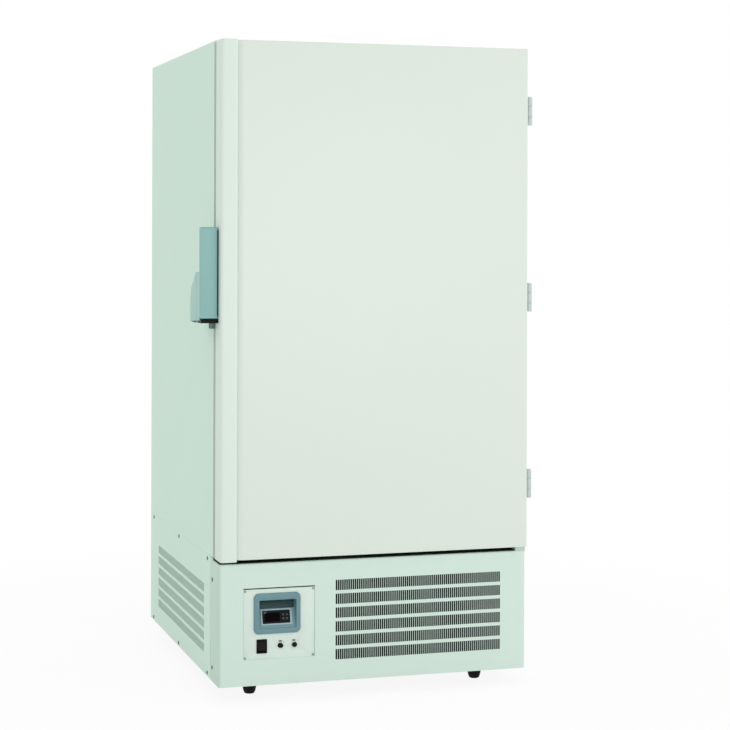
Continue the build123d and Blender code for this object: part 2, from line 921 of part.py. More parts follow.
# Lever: a channel open to the back, with a lug on the pin and a toe over the strike's pin
with BuildPart() as handle_lever:
    with BuildSketch(side_plane(lever_left)) as lever_side:
        span(lever_front, lever_back, lever_bottom, lever_top)
        heel = lever_side.vertices().group_by(Axis.Y)[0].sort_by(Axis.X)[-1]
        fillet(heel, radius=lever_depth / 2 - running_gap)
        fillet(lever_side.vertices().group_by(Axis.Y)[-1], radius=lever_corner)
    extrude(amount=handle_width)
    with BuildSketch(side_plane(lever_left + lever_wall)):
        with BuildLine():
            Polyline(
                (lever_front + lever_wall, lever_bottom + lever_wall),
                (pivot_y, lever_bottom + lever_wall),
                (pivot_y, lever_bottom - lever_wall),
                (lever_back + lever_wall, lever_bottom - lever_wall),
                (lever_back + lever_wall, lever_top - lever_wall),
                (lever_front + lever_wall, lever_top - lever_wall),
                close=True,
            )
        make_face()
    extrude(amount=handle_width - 2 * lever_wall, mode=Mode.SUBTRACT)
    with BuildSketch(side_plane(lever_middle - lug_width / 2)):
        with Locations((pivot_y, pivot_z)):
            Circle(ear_radius)
        span(lever_front + lever_wall / 2, pivot_y, pivot_z - ear_radius / 2, pivot_z + 4 * ear_radius)
        span(pivot_y, pivot_y + toe_length, toe_low, toe_low + toe_height)
        with Locations((pivot_y + toe_length, toe_low + toe_height / 2)):
            Circle(toe_height / 2)
    extrude(amount=lug_width)
    with BuildSketch(side_plane(lever_left + lever_wall / 3)):
        with Locations((pivot_y, pivot_z)):
            Circle(handle_pin_diameter / 2 + shaft_play)
    extrude(amount=handle_width - 2 * lever_wall / 3, mode=Mode.SUBTRACT)
handle_lever.part.label = "handle_lever"
export_step(handle_lever.part, "parts/handle_lever.step")

# Strike housing on the cabinet, shaped like a wedge, with the pin that the toe lies over
strike_front = cabinet_front + 1
with BuildPart() as strike_housing:
    with BuildSketch(side_plane(base_left)):
        with BuildLine():
            Polyline(
                (strike_front, handle_bottom),
                (strike_front + strike_depth - 2, handle_bottom),
                (strike_front + strike_depth, handle_bottom + 0.43 * handle_base_height),
                (strike_front + 0.85 * strike_depth, handle_bottom + 0.68 * handle_base_height),
                (strike_front + 0.49 * strike_depth, handle_bottom + 0.83 * handle_base_height),
                (strike_front + strike_nose, handle_top),
                (strike_front, handle_top),
                close=True,
            )
        make_face()
    extrude(amount=cabinet_left - base_left)
    offset(
        amount=-handle_wall,
        openings=[
            strike_housing.faces().sort_by(Axis.Y)[0],
            strike_housing.faces().sort_by(Axis.X)[-1],
        ],
        kind=Kind.INTERSECTION,
    )
    with BuildSketch(front_plane(strike_front + padlock_lug_sheet)):
        span(
            padlock_lug_middle - padlock_lug_reach,
            padlock_lug_middle + padlock_lug_reach,
            handle_bottom - padlock_lug_length,
            handle_bottom + handle_wall,
        )
        with Locations((padlock_lug_middle, handle_bottom - padlock_lug_length / 2)):
            Circle(padlock_hole / 2, mode=Mode.SUBTRACT)
    extrude(amount=padlock_lug_sheet)
strike_housing.part.label = "strike_housing"
export_step(strike_housing.part, "parts/strike_housing.step")

with BuildPart() as striker_pin:
    with BuildSketch(side_plane(base_left + handle_wall)):
        with Locations((cabinet_front + striker_back, toe_low - running_gap - striker_diameter / 2)):
            Circle(striker_diameter / 2)
    extrude(amount=cabinet_left - base_left - handle_wall)
striker_pin.part.label = "striker_pin"
export_step(striker_pin.part, "parts/striker_pin.step")


def base_section(z, inset):
    """The base's front and its wrapped corners seen from above, drawn in by inset."""
    with BuildSketch(floor_plane(z)) as section:
        span(cabinet_left + inset, cabinet_right - inset, base_front + inset, wrap_end)
        fillet(section.vertices().group_by(Axis.Y)[0], radius=base_corner - inset)
    return section.sketch


# Base front panel: a wrapped sheet with a ledge under the door, a grille and a control opening
plate_left = cabinet_left + plate_left_margin
plate_bottom = base_bottom + plate_low
grille_right = cabinet_right - front_vent_right_margin
grille_left = cabinet_left + front_vent_left_margin
grille_middle = (grille_left + grille_right) / 2
grille_height = (vent_rows - 1) * vent_row_pitch + vent_slot_height
grille_level = base_bottom + front_vent_low + grille_height / 2
front_slot_columns = int((grille_right - grille_left) / front_slot_pitch)
with BuildPart() as base_front_panel:
    extrude(base_section(base_bottom, 0), amount=base_height)
    extrude(
        base_section(base_bottom, sheet),
        amount=ledge_top - sheet - base_bottom,
        mode=Mode.SUBTRACT,
    )
    with BuildSketch(side_plane(cabinet_left)):
        span(base_front, cabinet_front, ledge_top, base_top)
    extrude(amount=cabinet_width, mode=Mode.SUBTRACT)
    with BuildSketch(side_plane(inside_left)):
        span(cabinet_front + sheet, wrap_end, ledge_top - 2 * sheet, base_top)
    extrude(amount=inside_right - inside_left, mode=Mode.SUBTRACT)
    with BuildSketch(front_plane(base_inside_front)):
        with Locations((grille_middle, grille_level)):
            with GridLocations(front_slot_pitch, vent_row_pitch, front_slot_columns, vent_rows):
                Rectangle(front_slot_pitch - front_slot_bar, vent_slot_height)
        span(
            plate_left,
            plate_left + plate_width,
            plate_bottom,
            plate_bottom + plate_height,
        )
    extrude(amount=sheet, mode=Mode.SUBTRACT)
base_front_panel.part.label = "base_front_panel"
export_step(base_front_panel.part, "parts/base_front_panel.step")

# Base chassis: a lipped pan on four corner posts that carry the cabinet
foot_places = [
    (cabinet_left + foot_inset, door_front + base_setback + foot_setback),
    (cabinet_right - foot_inset, door_front + base_setback + foot_setback),
]
post_front = cabinet_front + sheet
with BuildPart() as base_chassis:
    with BuildSketch(floor_plane(pan_bottom)) as pan_outline:
        span(inside_left, inside_right, base_inside_front, base_inside_back)
        fillet(pan_outline.vertices().group_by(Axis.Y)[0], radius=base_corner - sheet)
    extrude(amount=pan_lip)
    with BuildSketch(floor_plane(pan_top)):
        span(
            inside_left + pan_thickness,
            inside_right - pan_thickness,
            base_inside_front + pan_thickness,
            base_inside_back - pan_thickness,
        )
    extrude(amount=pan_lip, mode=Mode.SUBTRACT)
    with BuildSketch(floor_plane(pan_bottom)):
        for post_x, inward_x in ((inside_left, 1), (inside_right, -1)):
            for post_y, inward_y in ((post_front, 1), (base_inside_back, -1)):
                with BuildLine():
                    Polyline(
                        (post_x, post_y),
                        (post_x + inward_x * post_width, post_y),
                        (post_x + inward_x * post_width, post_y + inward_y * pan_thickness),
                        (post_x + inward_x * pan_thickness, post_y + inward_y * pan_thickness),
                        (post_x + inward_x * pan_thickness, post_y + inward_y * post_width),
                        (post_x, post_y + inward_y * post_width),
                        close=True,
                    )
                make_face()
    extrude(amount=base_top - pan_bottom)
    with BuildSketch(floor_plane(pan_bottom - boss_height)):
        with Locations(*foot_places):
            Circle(stud_diameter / 2 + boss_wall)
    extrude(amount=boss_height)
    with BuildSketch(floor_plane(pan_bottom - boss_height)):
        with Locations(*foot_places):
            Circle(stud_diameter / 2 + shaft_play)
    extrude(amount=boss_height + pan_thickness, mode=Mode.SUBTRACT)
base_chassis.part.label = "base_chassis"
export_step(base_chassis.part, "parts/base_chassis.step")

# Side service panels with their vents
side_panel_start = wrap_end
side_vent_front = door_front + side_vent_start
side_vent_back = cabinet_back - side_vent_back_margin
vent_middle = (side_vent_front + side_vent_back) / 2
side_columns = int((side_vent_back - side_vent_front) / side_slot_pitch)
side_vent_height = (vent_rows - 1) * side_row_pitch + side_slot_height
side_vent_level = base_bottom + front_vent_low + side_vent_height / 2
for side, panel_x in (("left", cabinet_left), ("right", inside_right)):
    with BuildPart() as side_service_panel:
        with BuildSketch(side_plane(panel_x)):
            span(side_panel_start, cabinet_back, base_bottom, base_top)
            with Locations((vent_middle, side_vent_level)):
                with GridLocations(side_slot_pitch, side_row_pitch, side_columns, vent_rows):
                    Rectangle(
                        side_slot_pitch - side_slot_bar,
                        side_slot_height,
                        mode=Mode.SUBTRACT,
                    )
        extrude(amount=sheet)
    side_service_panel.part.label = f"side_service_panel_{side}"
    export_step(side_service_panel.part, f"parts/side_service_panel_{side}.step")

# Rear service panel with louvre slots and the power inlet's opening
inlet_x = cabinet_left + inlet_left
inlet_z = base_bottom + inlet_low
inlet_body_width = inlet_width - 4 * inlet_flange
inlet_body_height = inlet_height - 4 * inlet_flange
with BuildPart() as rear_service_panel:
    with BuildSketch(front_plane(cabinet_back)):
        span(inside_left, inside_right, base_bottom, base_top)
        with Locations((cabinet_right - cabinet_width / 3, (base_bottom + base_top) / 2)):
            with GridLocations(
                rear_slot_width + 2 * rear_slot_height,
                3 * rear_slot_height,
                rear_slot_columns,
                rear_slot_rows,
            ):
                Rectangle(rear_slot_width, rear_slot_height, mode=Mode.SUBTRACT)
        with Locations((inlet_x, inlet_z)):
            Rectangle(inlet_body_width, inlet_body_height, mode=Mode.SUBTRACT)
    extrude(amount=sheet)
rear_service_panel.part.label = "rear_service_panel"
export_step(rear_service_panel.part, "parts/rear_service_panel.step")

# Power inlet: a flanged socket with three blades, flush in the rear panel
with BuildPart() as power_inlet:
    with BuildSketch(front_plane(cabinet_back + inlet_flange)):
        with Locations((inlet_x, inlet_z)):
            RectangleRounded(inlet_width, inlet_height, 2 * inlet_flange)
    extrude(amount=inlet_flange)
    with BuildSketch(front_plane(cabinet_back)):
        with Locations((inlet_x, inlet_z)):
            Rectangle(inlet_body_width, inlet_body_height)
    extrude(amount=inlet_socket_depth + inlet_flange)
    with BuildSketch(front_plane(cabinet_back + inlet_flange)):
        with Locations((inlet_x, inlet_z)):
            Rectangle(inlet_socket_width, inlet_socket_height)
            with Locations(
                (-inlet_blade_width, -inlet_blade_thickness),
                (inlet_blade_width, -inlet_blade_thickness),
                (0, 2 * inlet_blade_thickness),
            ):
                Rectangle(inlet_blade_thickness, inlet_blade_width / 2, mode=Mode.SUBTRACT)
    extrude(amount=inlet_socket_depth, mode=Mode.SUBTRACT)
power_inlet.part.label = "power_inlet"
export_step(power_inlet.part, "parts/power_inlet.step")

# Levelling feet: a chamfered pad on a stud that screws up through the chassis
for side, (foot_x, foot_y) in zip(("left", "right"), foot_places):
    with BuildPart() as levelling_foot:
        with BuildSketch(floor_plane(0)):
            with Locations((foot_x, foot_y)):
                Circle(pad_diameter / 2)
        extrude(amount=pad_height)
        chamfer(levelling_foot.edges().sort_by(Axis.Z)[0], length=pad_height / 5)
        with BuildSketch(floor_plane(pad_height)):
            with Locations((foot_x, foot_y)):
                RegularPolygon(radius=stud_diameter, side_count=6)
        extrude(amount=stud_diameter / 2)
        with BuildSketch(floor_plane(pad_height)):
            with Locations((foot_x, foot_y)):
                Circle(stud_diameter / 2)
        extrude(amount=stud_length)
    levelling_foot.part.label = f"levelling_foot_{side}"
    export_step(levelling_foot.part, f"parts/levelling_foot_{side}.step")

# Casters: the front pair swivels on its mounts, the rear pair's forks are fixed to them
front_caster_y = door_front + base_setback + caster_setback
rear_caster_y = cabinet_back - rear_caster_inset
fork_inner = wheel_width / 2 + fork_side_gap
fork_outer = fork_inner + fork_sheet
crown_top = pan_bottom - caster_plate_thickness - fork_crown_gap
casters = (
    ("front", "left", cabinet_left + foot_inset, front_caster_y),
    ("front", "right", cabinet_right - foot_inset, front_caster_y),
    ("rear", "left", cabinet_left + foot_inset, rear_caster_y),
    ("rear", "right", cabinet_right - foot_inset, rear_caster_y),
)


def wheel_height(end):
    """Height of a wheel's centre: the front pair is held just off the floor by the feet."""
    return wheel_diameter / 2 + (front_wheel_lift if end == "front" else 0)


def fork(x, y, axle_z):
    """A bent fork open below, with its crown at the swivel and its cheeks round the axle."""
    axle_y = y + wheel_trail
    with BuildPart() as piece:
        with BuildSketch(side_plane(x - fork_outer)):
            with BuildLine():
                Polyline(
                    (y - swivel_boss_diameter / 2, crown_top),
                    (y - swivel_boss_diameter / 2, crown_top - 2 * fork_sheet),
                    (axle_y - axle_diameter, axle_z),
                    (axle_y - axle_diameter / 2, axle_z - axle_diameter),
                    (axle_y + axle_diameter / 2, axle_z - axle_diameter),
                    (axle_y + axle_diameter, axle_z),
                    (axle_y + axle_diameter, crown_top),
                    close=True,
                )
            make_face()
        extrude(amount=2 * fork_outer)
        with BuildSketch(side_plane(x - fork_inner)):
            span(
                y - swivel_boss_diameter,
                axle_y + 2 * axle_diameter,
                axle_z - 2 * axle_diameter,
                crown_top - fork_sheet,
            )
        extrude(amount=2 * fork_inner, mode=Mode.SUBTRACT)
    return piece.part


def axle(x, y, axle_z):
    """An axle through a fork's cheeks, with a flat head on each end."""
    with BuildPart() as piece:
        with BuildSketch(side_plane(x - fork_outer)):
            with Locations((y + wheel_trail, axle_z)):
                Circle(axle_diameter / 2)
        extrude(amount=2 * fork_outer)
        for head_x in (x - fork_outer - axle_head, x + fork_outer):
            with BuildSketch(side_plane(head_x)):
                with Locations((y + wheel_trail, axle_z)):
                    RegularPolygon(radius=axle_diameter * 0.8, side_count=6)
            extrude(amount=axle_head)
    return piece.part


with BuildPart() as caster_mounts:
    for end, side, x, y in casters:
        with BuildSketch(floor_plane(pan_bottom - caster_plate_thickness)):
            with Locations((x, y)):
                Rectangle(caster_plate_width, caster_plate_length)
        extrude(amount=caster_plate_thickness)
        with BuildSketch(floor_plane(crown_top + (running_gap if end == "front" else 0))):
            with Locations((x, y)):
                Circle(swivel_boss_diameter / 2)
        extrude(amount=fork_crown_gap - (running_gap if end == "front" else 0))
        if end == "front":
            with BuildSketch(floor_plane(crown_top - fork_sheet - running_gap)):
                with Locations((x, y)):
                    Circle(swivel_pin_diameter / 2)
            extrude(amount=fork_crown_gap + fork_sheet)
            with BuildSketch(floor_plane(crown_top - 2 * fork_sheet)):
                with Locations((x, y)):
                    Circle(0.75 * swivel_pin_diameter)
            extrude(amount=fork_sheet - running_gap)
        else:
            add(fork(x, y, wheel_height(end)))
            add(axle(x, y, wheel_height(end)))
caster_mounts.part.label = "caster_mounts"
export_step(caster_mounts.part, "parts/caster_mounts.step")

for end, side, x, y in casters:
    if end == "front":
        with BuildPart() as caster_fork:
            add(fork(x, y, wheel_height(end)))
            with BuildSketch(floor_plane(crown_top - fork_sheet)):
                with Locations((x, y)):
                    Circle(swivel_pin_diameter / 2 + shaft_play)
            extrude(amount=fork_sheet, mode=Mode.SUBTRACT)
            add(axle(x, y, wheel_height(end)))
        caster_fork.part.label = f"caster_fork_{side}"
        export_step(caster_fork.part, f"parts/caster_fork_{side}.step")
    with BuildPart() as caster_wheel:
        with BuildSketch(side_plane(x - wheel_width / 2)):
            with Locations((y + wheel_trail, wheel_height(end))):
                Circle(wheel_diameter / 2)
                Circle(axle_diameter / 2 + shaft_play, mode=Mode.SUBTRACT)
        extrude(amount=wheel_width)
        chamfer(caster_wheel.edges().filter_by(GeomType.CIRCLE).group_by(SortBy.RADIUS)[-1], length=2)
    caster_wheel.part.label = f"caster_wheel_{end}_{side}"
    export_step(caster_wheel.part, f"parts/caster_wheel_{end}_{side}.step")

# Control plate: a flat plate behind the base's opening, cut out for what it carries
plate_front = base_inside_front
bezel_x = plate_left + bezel_left
bezel_z = plate_bottom + bezel_low
bezel_front = plate_front - bezel_proud
recess_x = bezel_x + recess_left
recess_z = bezel_z + recess_low
recess_floor = bezel_front + recess_shallow
recess_deepest = recess_floor + recess_height * tan(radians(recess_tilt))
switch_x = plate_left + switch_left + switch_width / 2
switch_z = plate_bottom + switch_low + switch_height / 2
switch_body_width = switch_width - switch_rim
switch_body_height = switch_height - switch_rim
fuse_places = [
    (plate_left + fuse_left + number * fuse_pitch, plate_bottom + fuse_height)
    for number in range(2)
]
with BuildPart() as control_plate:
    with BuildSketch(front_plane(plate_front + plate_sheet)):
        span(
            plate_left - plate_overlap,
            plate_left + plate_width + plate_overlap,
            plate_bottom - plate_overlap,
            plate_bottom + plate_height + plate_overlap,
        )
        span(
            recess_x - bezel_body_wall - running_gap,
            recess_x + recess_width + bezel_body_wall + running_gap,
            recess_z - bezel_body_wall - running_gap,
            recess_z + recess_height + bezel_body_wall + running_gap,
            Mode.SUBTRACT,
        )
        with Locations((switch_x, switch_z)):
            Rectangle(
                switch_body_width + 2 * running_gap,
                switch_body_height + 2 * running_gap,
                mode=Mode.SUBTRACT,
            )
        with Locations(*fuse_places):
            Circle(fuse_body_diameter / 2 + shaft_play, mode=Mode.SUBTRACT)
    extrude(amount=plate_sheet)
control_plate.part.label = "control_plate"
export_step(control_plate.part, "parts/control_plate.step")

# Display bezel: a round-cornered frame round a recess whose back leans away at the top
face_plane = Plane(
    origin=(recess_x, recess_floor, recess_z),
    x_dir=(1, 0, 0),
    z_dir=(0, -cos(radians(recess_tilt)), sin(radians(recess_tilt))),
)
controller_x = controller_left + controller_width / 2
controller_y = controller_low + controller_height / 2
body_width = controller_width - 2 * controller_body_inset
body_height = controller_height - 2 * controller_body_inset
with BuildPart() as display_bezel:
    with BuildSketch(front_plane(plate_front)):
        rounded_span(bezel_x, bezel_x + bezel_width, bezel_z, bezel_z + bezel_height, bezel_corner)
    extrude(amount=bezel_proud)
    fillet(display_bezel.faces().sort_by(Axis.Y)[0].edges(), radius=bezel_proud / 3)
    with BuildSketch(front_plane(recess_deepest + bezel_body_wall)):
        span(
            recess_x - bezel_body_wall,
            recess_x + recess_width + bezel_body_wall,
            recess_z - bezel_body_wall,
            recess_z + recess_height + bezel_body_wall,
        )
    extrude(amount=recess_deepest + bezel_body_wall - plate_front)
    with BuildSketch(side_plane(recess_x)):
        with BuildLine():
            Polyline(
                (bezel_front, recess_z),
                (recess_floor, recess_z),
                (recess_deepest, recess_z + recess_height),
                (bezel_front, recess_z + recess_height),
                close=True,
            )
        make_face()
    extrude(amount=recess_width, mode=Mode.SUBTRACT)
    with BuildSketch(face_plane):
        with Locations((controller_x, controller_y)):
            Rectangle(body_width, body_height)
    extrude(amount=-controller_body_depth, mode=Mode.SUBTRACT)
display_bezel.part.label = "display_bezel"
export_step(display_bezel.part, "parts/display_bezel.step")

# Controller: a panel module with a sunk window and four key pockets
key_room = key_depth + key_travel + running_gap
key_places = {
    "key_menu": (-key_pitch_x, key_pitch_y / 2),
    "key_up": (0, key_pitch_y / 2),
    "key_alarm": (-key_pitch_x, -key_pitch_y / 2),
    "key_down": (0, -key_pitch_y / 2),
}
key_centre = (controller_left + controller_width - key_right, controller_y)
window_width = controller_width - 2 * key_pitch_x - 2 * key_right
with BuildPart() as controller_module:
    with BuildSketch(face_plane):
        with Locations((controller_x, controller_y)):
            RectangleRounded(controller_width, controller_height, controller_flange / 2)
    extrude(amount=controller_flange)
    with BuildSketch(face_plane):
        with Locations((controller_x, controller_y)):
            Rectangle(body_width - 2 * running_gap, body_height - 2 * running_gap)
    extrude(amount=-controller_body_depth)
    with BuildSketch(face_plane.offset(controller_flange)):
        with Locations((controller_left + key_right / 2 + window_width / 2, controller_y)):
            Rectangle(window_width, controller_height - key_right)
    extrude(amount=-controller_flange / 4, mode=Mode.SUBTRACT)
    with BuildSketch(face_plane.offset(controller_flange)):
        with Locations(key_centre):
            with Locations(*key_places.values()):
                Rectangle(key_width + 2 * running_gap, key_height + 2 * running_gap)
    extrude(amount=-key_room, mode=Mode.SUBTRACT)
controller_module.part.label = "controller_module"
export_step(controller_module.part, "parts/controller_module.step")

for name, place in key_places.items():
    with BuildPart() as key:
        with BuildSketch(face_plane.offset(controller_flange - key_depth)):
            with Locations(key_centre):
                with Locations(place):
                    Rectangle(key_width, key_height)
        extrude(amount=key_depth + key_travel)
    key.part.label = name
    export_step(key.part, f"parts/{name}.step")

# Power switch: a rimmed housing with a rocker on stub pins
rocker_y = plate_front - switch_rim_proud + rocker_pivot_depth
cavity_width = switch_width - 2 * switch_rim
cavity_height = switch_height - 2 * switch_rim
rocker_width = cavity_width - 2 * running_gap
with BuildPart() as switch_housing:
    with BuildSketch(front_plane(plate_front)):
        with Locations((switch_x, switch_z)):
            RectangleRounded(switch_width, switch_height, switch_rim_proud)
    extrude(amount=switch_rim_proud)
    with BuildSketch(front_plane(plate_front + switch_body_depth)):
        with Locations((switch_x, switch_z)):
            Rectangle(switch_body_width, switch_body_height)
    extrude(amount=switch_body_depth)
    with BuildSketch(front_plane(plate_front - switch_rim_proud + switch_cavity_depth)):
        with Locations((switch_x, switch_z)):
            Rectangle(cavity_width, cavity_height)
    extrude(amount=switch_cavity_depth, mode=Mode.SUBTRACT)
    with BuildSketch(side_plane(switch_x - rocker_width / 2 - rocker_stub / 2 - running_gap)):
        with Locations((rocker_y, switch_z)):
            Circle(rocker_stub / 2 + shaft_play)
    extrude(amount=rocker_width + rocker_stub + 2 * running_gap, mode=Mode.SUBTRACT)
switch_housing.part.label = "switch_housing"
export_step(switch_housing.part, "parts/switch_housing.step")

# The rocker's front is a shallow V, and it rests with its upper half pressed in
tilt = radians(rocker_tilt)
rocker_plane = Plane(
    origin=(switch_x - rocker_width / 2, rocker_y, switch_z),
    x_dir=(0, sin(tilt), cos(tilt)),
    z_dir=(1, 0, 0),
)
rocker_valley = rocker_pivot_depth + running_gap
rocker_crest = rocker_valley + rocker_half * tan(tilt)
with BuildPart() as rocker:
    with BuildSketch(rocker_plane):
        with BuildLine():
            Polyline(
                (-rocker_half, rocker_crest),
                (0, rocker_valley),
                (rocker_half, rocker_crest),
                (rocker_half, -rocker_stub),
                (rocker_half * 0.7, -2 * rocker_stub),
                (-rocker_half * 0.7, -2 * rocker_stub),
                (-rocker_half, -rocker_stub),
                close=True,
            )
        make_face()
    extrude(amount=rocker_width)
    with BuildSketch(side_plane(switch_x - rocker_width / 2 - rocker_stub / 2)):
        with Locations((rocker_y, switch_z)):
            Circle(rocker_stub / 2)
    extrude(amount=rocker_width + rocker_stub)
rocker.part.label = "rocker"
export_step(rocker.part, "parts/rocker.step")

# Fuse holders and their bayonet caps
spigot_radius = fuse_body_diameter / 3
with BuildPart() as fuse_holders:
    with BuildSketch(front_plane(plate_front)):
        with Locations(*fuse_places):
            RegularPolygon(radius=fuse_cap_diameter / 2 + fuse_nut_height, side_count=6)
    extrude(amount=fuse_nut_height)
    with BuildSketch(front_plane(plate_front + fuse_body_depth)):
        with Locations(*fuse_places):
            Circle(fuse_body_diameter / 2)
    extrude(amount=fuse_body_depth)
    with BuildSketch(front_plane(plate_front + fuse_body_depth / 2)):
        with Locations(*fuse_places):
            Circle(spigot_radius + shaft_play)
    extrude(amount=fuse_body_depth / 2 + fuse_nut_height, mode=Mode.SUBTRACT)
fuse_holders.part.label = "fuse_holders"
export_step(fuse_holders.part, "parts/fuse_holders.step")

cap_back = plate_front - fuse_nut_height - running_gap
for side, place in zip(("left", "right"), fuse_places):
    with BuildPart() as fuse_cap:
        with BuildSketch(front_plane(cap_back)):
            with Locations(place):
                Circle(fuse_cap_diameter / 2)
        extrude(amount=fuse_cap_height)
        chamfer(fuse_cap.faces().sort_by(Axis.Y)[0].edges(), length=coin_slot_depth / 2)
        with BuildSketch(front_plane(plate_front + fuse_body_depth / 2 - running_gap)):
            with Locations(place):
                Circle(spigot_radius)
        extrude(amount=fuse_body_depth / 2 + fuse_nut_height)
        with BuildSketch(front_plane(cap_back - fuse_cap_height + coin_slot_depth)):
            with Locations(place):
                Rectangle(fuse_cap_diameter, coin_slot_width)
        extrude(amount=coin_slot_depth, mode=Mode.SUBTRACT)
    fuse_cap.part.label = f"fuse_cap_{side}"
    export_step(fuse_cap.part, f"parts/fuse_cap_{side}.step")

# Condenser behind the grille: a finned block with an inlet stub
condenser_left = grille_left - condenser_margin
condenser_right = grille_right + condenser_margin
condenser_front = base_front + condenser_setback
condenser_back = condenser_front + condenser_depth
condenser_top = pan_top + condenser_height
condenser_middle = (condenser_left + condenser_right) / 2
fin_count = int((condenser_right - condenser_left) / fin_pitch)
condenser_stub_x = condenser_left + fin_pitch
condenser_stub_y = (condenser_front + fin_length + condenser_back) / 2
with BuildPart() as condenser_coil:
    with BuildSketch(floor_plane(pan_top)):
        span(condenser_left, condenser_right, condenser_front + fin_length, condenser_back)
        with Locations((condenser_middle, condenser_front + fin_length / 2)):
            with GridLocations(fin_pitch, 1, fin_count, 1):
                Rectangle(fin_thickness, fin_length)
    extrude(amount=condenser_height)
    with BuildSketch(floor_plane(condenser_top)):
        with Locations((condenser_stub_x, condenser_stub_y)):
            Circle(stub_diameter / 2)
    extrude(amount=stub_height / 2)
condenser_coil.part.label = "condenser_coil"
export_step(condenser_coil.part, "parts/condenser_coil.step")

# Fan shroud: a plate and ring on the condenser's back, with a cross that holds the motor
fan_z = pan_top + condenser_height / 2
fan_place = (condenser_middle, fan_z)
shroud_back = condenser_back + shroud_sheet
ring_back = shroud_back + fan_ring_depth
with BuildPart() as fan_shroud:
    with BuildSketch(front_plane(shroud_back)):
        span(condenser_left, condenser_right, pan_top, condenser_top)
        with Locations(fan_place):
            Circle(fan_opening / 2, mode=Mode.SUBTRACT)
    extrude(amount=shroud_sheet)
    with BuildSketch(front_plane(ring_back)):
        with Locations(fan_place):
            Circle(fan_opening / 2 + shroud_sheet)
            Circle(fan_opening / 2, mode=Mode.SUBTRACT)
    extrude(amount=fan_ring_depth)
    with BuildSketch(front_plane(ring_back)):
        with Locations(fan_place):
            Circle(motor_diameter / 2)
            Rectangle(fan_opening + shroud_sheet, motor_arm)
            Rectangle(motor_arm, fan_opening + shroud_sheet)
            Circle(motor_shaft, mode=Mode.SUBTRACT)
    extrude(amount=shroud_sheet)
fan_shroud.part.label = "fan_shroud"
export_step(fan_shroud.part, "parts/fan_shroud.step")

with BuildPart() as fan_motor:
    with BuildSketch(front_plane(ring_back + motor_depth)):
        with Locations(fan_place):
            Circle(motor_diameter / 2)
            Circle(motor_shaft / 2 + shaft_play, mode=Mode.SUBTRACT)
    extrude(amount=motor_depth)
    rear_rim = fan_motor.faces().sort_by(Axis.Y)[-1].edges().sort_by(SortBy.LENGTH)[-1]
    chamfer(rear_rim, length=motor_depth / 8)
fan_motor.part.label = "fan_motor"
export_step(fan_motor.part, "parts/fan_motor.step")

# Fan rotor: a hub on the motor's shaft with pitched blades
fan_y = (shroud_back + ring_back - shroud_sheet) / 2
blade_start = fan_hub_diameter / 2 - 3
blade_length = fan_opening / 2 - fan_blade_gap - blade_start
blade_chord = fan_ring_depth * 1.6
with BuildPart() as fan_rotor:
    with BuildSketch(front_plane(fan_y + fan_hub_depth / 2)):
        with Locations(fan_place):
            Circle(fan_hub_diameter / 2)
    extrude(amount=fan_hub_depth)
    with BuildSketch(front_plane(ring_back + motor_depth / 2)):
        with Locations(fan_place):
            Circle(motor_shaft / 2)
    extrude(amount=ring_back + motor_depth / 2 - fan_y)
    for blade in range(fan_blades):
        angle = radians(360 * blade / fan_blades)
        blade_root = Plane(
            origin=(condenser_middle, fan_y, fan_z),
            x_dir=(0, 1, 0),
            z_dir=(cos(angle), 0, sin(angle)),
        )
        with BuildSketch(blade_root.offset(blade_start)):
            Rectangle(blade_sheet, blade_chord, rotation=-blade_pitch_angle)
        extrude(amount=blade_length)
fan_rotor.part.label = "fan_rotor"
export_step(fan_rotor.part, "parts/fan_rotor.step")

# Compressors: two hermetic pots, the low stage under the evaporator's suction tail
low_stage_x = coil_riser - low_stage_offset
high_stage_x = coil_left
high_stage_y = door_front + high_stage_back
pot_radius = compressor_diameter / 2
stub_out = pot_radius / 2
compressor_top = pan_top + compressor_height
stub_top = compressor_top + stub_height
with BuildPart() as compressors:
    for pot_x, pot_y, stubs in (
        (low_stage_x, coil_y, ((coil_riser, coil_y), (low_stage_x - stub_out, coil_y))),
        (
            high_stage_x,
            high_stage_y,
            ((high_stage_x, high_stage_y + stub_out), (high_stage_x, high_stage_y - stub_out)),
        ),
    ):
        with BuildSketch(Plane(origin=(pot_x, pot_y, pan_top), x_dir=(1, 0, 0), z_dir=(0, -1, 0))):
            with BuildLine():
                Polyline(
                    (0, 0),
                    (0.85 * pot_radius, 0),
                    (pot_radius, 0.12 * compressor_height),
                    (pot_radius, 0.74 * compressor_height),
                    (0.72 * pot_radius, 0.94 * compressor_height),
                    (0, compressor_height),
                    close=True,
                )
            make_face()
        revolve(axis=Axis((pot_x, pot_y, 0), (0, 0, 1)))
        with BuildSketch(floor_plane(pan_top)):
            with Locations((pot_x, pot_y)):
                RectangleRounded(compressor_foot, compressor_foot, compressor_foot / 10)
        extrude(amount=compressor_foot_sheet)
        with BuildSketch(floor_plane(pan_top + compressor_height / 2)):
            with Locations(*stubs):
                Circle(stub_diameter / 2)
        extrude(amount=stub_top - pan_top - compressor_height / 2)
compressors.part.label = "compressors"
export_step(compressors.part, "parts/compressors.step")

# Cascade heat exchanger: a brazed plate block under the evaporator's liquid tail
exchanger_top = coil_tail_end - exchanger_clearance
with BuildPart() as cascade_heat_exchanger:
    with BuildSketch(floor_plane(pan_top)):
        with Locations((coil_left, coil_y)):
            RectangleRounded(exchanger_width, exchanger_depth, exchanger_depth / 5)
    extrude(amount=exchanger_top - pan_top)
cascade_heat_exchanger.part.label = "cascade_heat_exchanger"
export_step(cascade_heat_exchanger.part, "parts/cascade_heat_exchanger.step")

